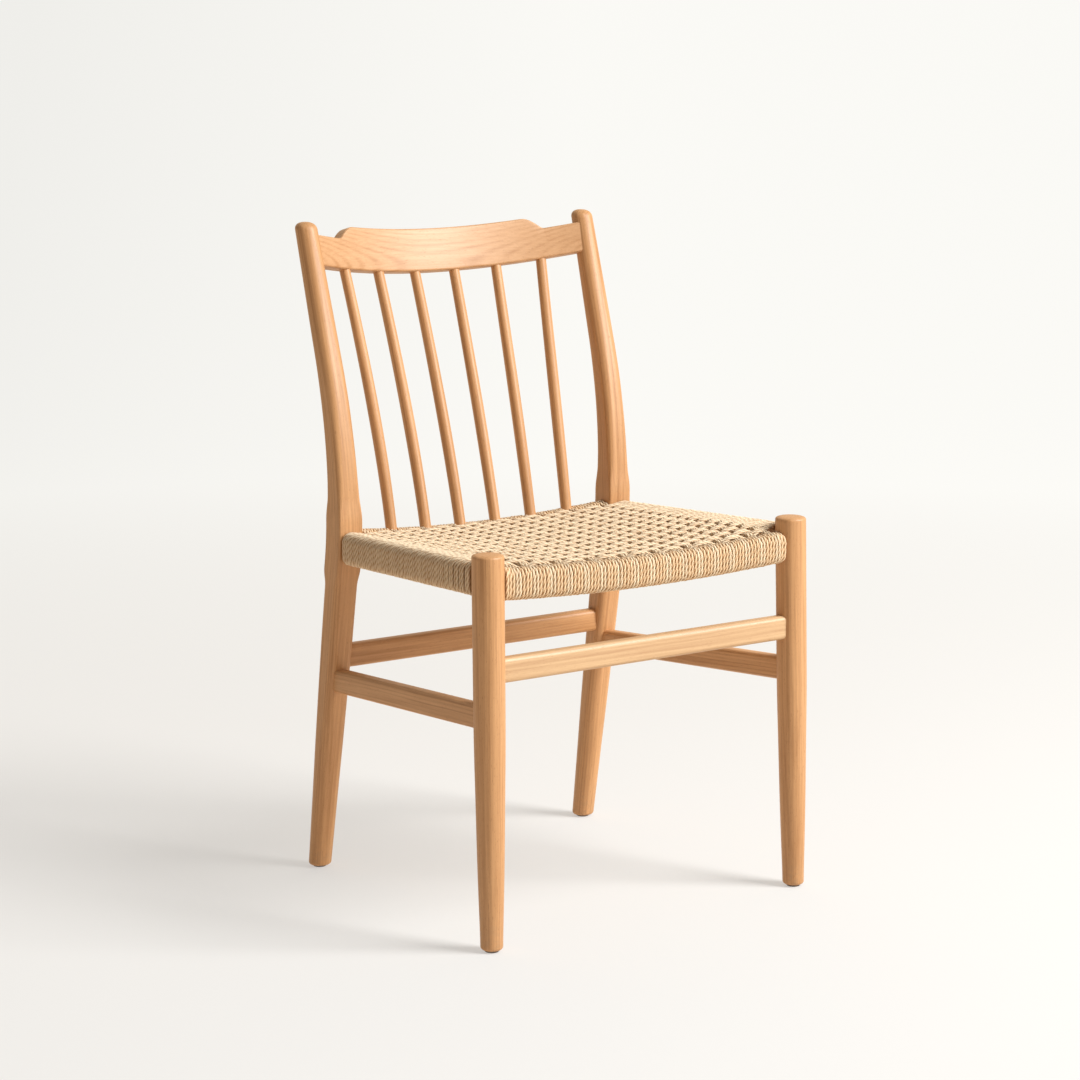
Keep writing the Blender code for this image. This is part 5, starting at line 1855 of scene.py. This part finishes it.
# ---- studio --------------------------------------------------------------------------
@dataclass
class Studio:
    """A pale sweep, a large soft key light from the right and a pale world.

    Attributes:
        floor_colour: the paper's own colour near the chair.
        glow_colour: what the paper gives off by itself near the chair.
        left_colour: what it gives off far away, to the left.
        right_colour: what it gives off far away, to the right.
        bounce_tint: the change of colour of the light that it throws on the chair.
        lit_reach: how far from the chair the paper is still all lit by the lights.
        glow_reach: from how far off it only glows.
        sweep_half: half the sheet's width, and the height of its top edge.
        sweep_bend: radius of the curve between floor and backdrop.
        world_colour: of the light from all round.
        world_strength: of that light.
        key_power: of the key light, in watts.
        key_place: where it stands.
        key_width: of its rectangle.
        key_height: of its rectangle.
        key_colour: of its light.
        aim: what it is turned to.
        camera_place: where the camera stands.
        camera_azimuth: degrees that it is turned to the right of straight back.
        camera_pitch: degrees that it looks down.
        camera_lens: in millimetres, on a 36 mm wide sensor.
    """

    floor_colour: tuple = (0.37, 0.366, 0.360)
    glow_colour: tuple = (0.46, 0.458, 0.448)
    left_colour: tuple = (0.863, 0.855, 0.823)
    right_colour: tuple = (0.956, 0.948, 0.913)
    bounce_tint: tuple = (1.10, 0.88, 0.66)
    lit_reach: float = 0.9
    glow_reach: float = 3.2
    sweep_half: float = 9.0
    sweep_bend: float = 3.0
    world_colour: tuple = (1.0, 0.97, 0.92)
    world_strength: float = 0.27
    key_power: float = 490.0
    key_place: tuple = (2.66, -3.43, 3.55)
    key_width: float = 2.2
    key_height: float = 4.4
    key_colour: tuple = (1.0, 0.995, 0.98)
    aim: tuple = (0.0, 0.0, 0.4)
    camera_place: tuple = (-2.0589, -2.9028, 1.0532)
    camera_azimuth: float = 35.44
    camera_pitch: float = 10.05
    camera_lens: float = 97.97

    @property
    def turn(self) -> float:
        """How far the camera's view is turned to the right of straight ahead, in radians."""
        return math.radians(self.camera_azimuth)

    def paper(self) -> bpy.types.Material:
        """Pale paper: lit near the chair, glowing by itself farther off, clear from below.

        Far off the glow fades from the right colour to the left one across the view. Light that
        bounces off the paper is warmer than the paper looks.
        """
        material = bpy.data.materials.new("studio paper")
        material.use_nodes = True
        nodes = Nodes(material.node_tree)
        link = nodes.tree.links.new
        shader = material.node_tree.nodes["Principled BSDF"]
        place = nodes.add("ShaderNodeTexCoord").outputs["Object"]
        reach = nodes.vector("LENGTH", {0: nodes.scaled(place, (1.0, 1.0, 0.0))}, "Value")
        to_the_right = (math.cos(self.turn), -math.sin(self.turn), 0.0)
        aside = nodes.vector("DOT_PRODUCT", {0: place, 1: to_the_right}, "Value")
        away = nodes.spread(reach, self.lit_reach, self.glow_reach)
        across = nodes.spread(aside, -1.5, 0.1)
        far = nodes.blend(across, (*self.left_colour, 1.0), (*self.right_colour, 1.0))
        link(nodes.blend(away, (*self.floor_colour, 1.0), BLACK), shader.inputs["Base Color"])
        shown = nodes.blend(away, (*self.glow_colour, 1.0), far)
        bounced = nodes.scaled(shown, self.bounce_tint)
        seen = nodes.add("ShaderNodeLightPath").outputs["Is Camera Ray"]
        link(nodes.blend(seen, bounced, shown), shader.inputs["Emission Color"])
        behind = nodes.add("ShaderNodeNewGeometry").outputs["Backfacing"]
        link(nodes.math("SUBTRACT", 1.0, behind), shader.inputs["Alpha"])
        shader.inputs["Emission Strength"].default_value = 1.0
        shader.inputs["Roughness"].default_value = 0.9
        shader.inputs["Specular IOR Level"].default_value = 0.1
        return material

    def floor(self) -> None:
        """One sheet: a level floor that curves up, by a quarter circle, into a backdrop."""
        bend = self.sweep_bend
        angles = np.radians(np.arange(6.0, 91.0, 6.0))
        level = np.linspace(-self.sweep_half, bend, 7)
        along = np.concatenate([level, bend + bend * np.sin(angles), [2.0 * bend]])
        lift = np.concatenate([np.zeros(7), bend - bend * np.cos(angles), [self.sweep_half]])
        left = np.stack([np.full_like(along, -self.sweep_half), along, lift], 1)
        right = left * (-1.0, 1.0, 1.0)
        c, s = math.cos(self.turn), math.sin(self.turn)
        spin = np.array(((c, s, 0.0), (-s, c, 0.0), (0.0, 0.0, 1.0)))
        points = np.concatenate([left, right]) @ spin.T
        count = len(along)
        i = np.arange(count - 1)
        faces = np.stack([i, count + i, count + i + 1, i + 1], 1)
        mesh = bpy.data.meshes.new("studio_sweep")
        mesh.from_pydata(points.tolist(), [], faces.tolist())
        mesh.shade_smooth()
        mesh.materials.append(self.paper())
        sweep = bpy.data.objects.new("studio_sweep", mesh)
        bpy.context.scene.collection.objects.link(sweep)

    def key(self) -> None:
        """The key light, a tall rectangle turned to the seat."""
        light = bpy.data.lights.new("key", "AREA")
        light.shape = "RECTANGLE"
        light.size = self.key_width
        light.size_y = self.key_height
        light.energy = self.key_power
        light.color = self.key_colour
        lamp = bpy.data.objects.new("key", light)
        lamp.location = self.key_place
        heading = Vector(self.aim) - Vector(self.key_place)
        lamp.rotation_euler = heading.to_track_quat("-Z", "Y").to_euler()
        bpy.context.scene.collection.objects.link(lamp)

    def world(self) -> None:
        """A pale world that lights the chair less than it shows behind the paper's edge."""
        world = bpy.data.worlds.new("studio")
        world.use_nodes = True
        nodes = Nodes(world.node_tree)
        background = world.node_tree.nodes["Background"]
        seen = nodes.add("ShaderNodeLightPath").outputs["Is Camera Ray"]
        fill = tuple(self.world_strength * value for value in self.world_colour)
        colour = nodes.blend(seen, (*fill, 1.0), (*self.right_colour, 1.0))
        world.node_tree.links.new(colour, background.inputs["Color"])
        bpy.context.scene.world = world

    def camera(self) -> None:
        """The camera, level and looking down a little."""
        pitch = math.radians(self.camera_pitch)
        level = math.cos(pitch)
        ahead = Vector((math.sin(self.turn) * level, math.cos(self.turn) * level, -math.sin(pitch)))
        lens = bpy.data.cameras.new("camera")
        lens.lens = self.camera_lens
        lens.sensor_width = 36.0
        lens.clip_end = 60.0
        eye = bpy.data.objects.new("camera", lens)
        eye.location = self.camera_place
        eye.rotation_euler = ahead.to_track_quat("-Z", "Y").to_euler()
        bpy.context.scene.collection.objects.link(eye)
        bpy.context.scene.camera = eye

    def build(self) -> None:
        """Sets up the camera, the floor, the world, the light and the view transform."""
        self.camera()
        self.floor()
        self.world()
        self.key()
        view = bpy.context.scene.view_settings
        view.view_transform = "Standard"
        view.look = "None"
        view.exposure = 0.0
        view.gamma = 1.0


def main() -> None:
    """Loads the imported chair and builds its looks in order."""
    logging.basicConfig(level=logging.INFO, format="%(message)s")
    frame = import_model()
    Studio().build()
    finishes = Finishes()
    lines = ChairLines.from_frame()
    FrontLegs(lines).build(finishes.legs)
    RearPosts(lines).build(finishes.legs)
    Stretchers(lines).build(finishes.bars, finishes.front_bar_highlit)
    crest = CrestRail(lines)
    crest.build(finishes.crest)
    spindles = Spindles(crest)
    spindles.build(finishes.spindles)
    WovenSeat(lines, spindles).build(finishes)
    dress(frame, finishes)


if __name__ == "__main__":
    main()
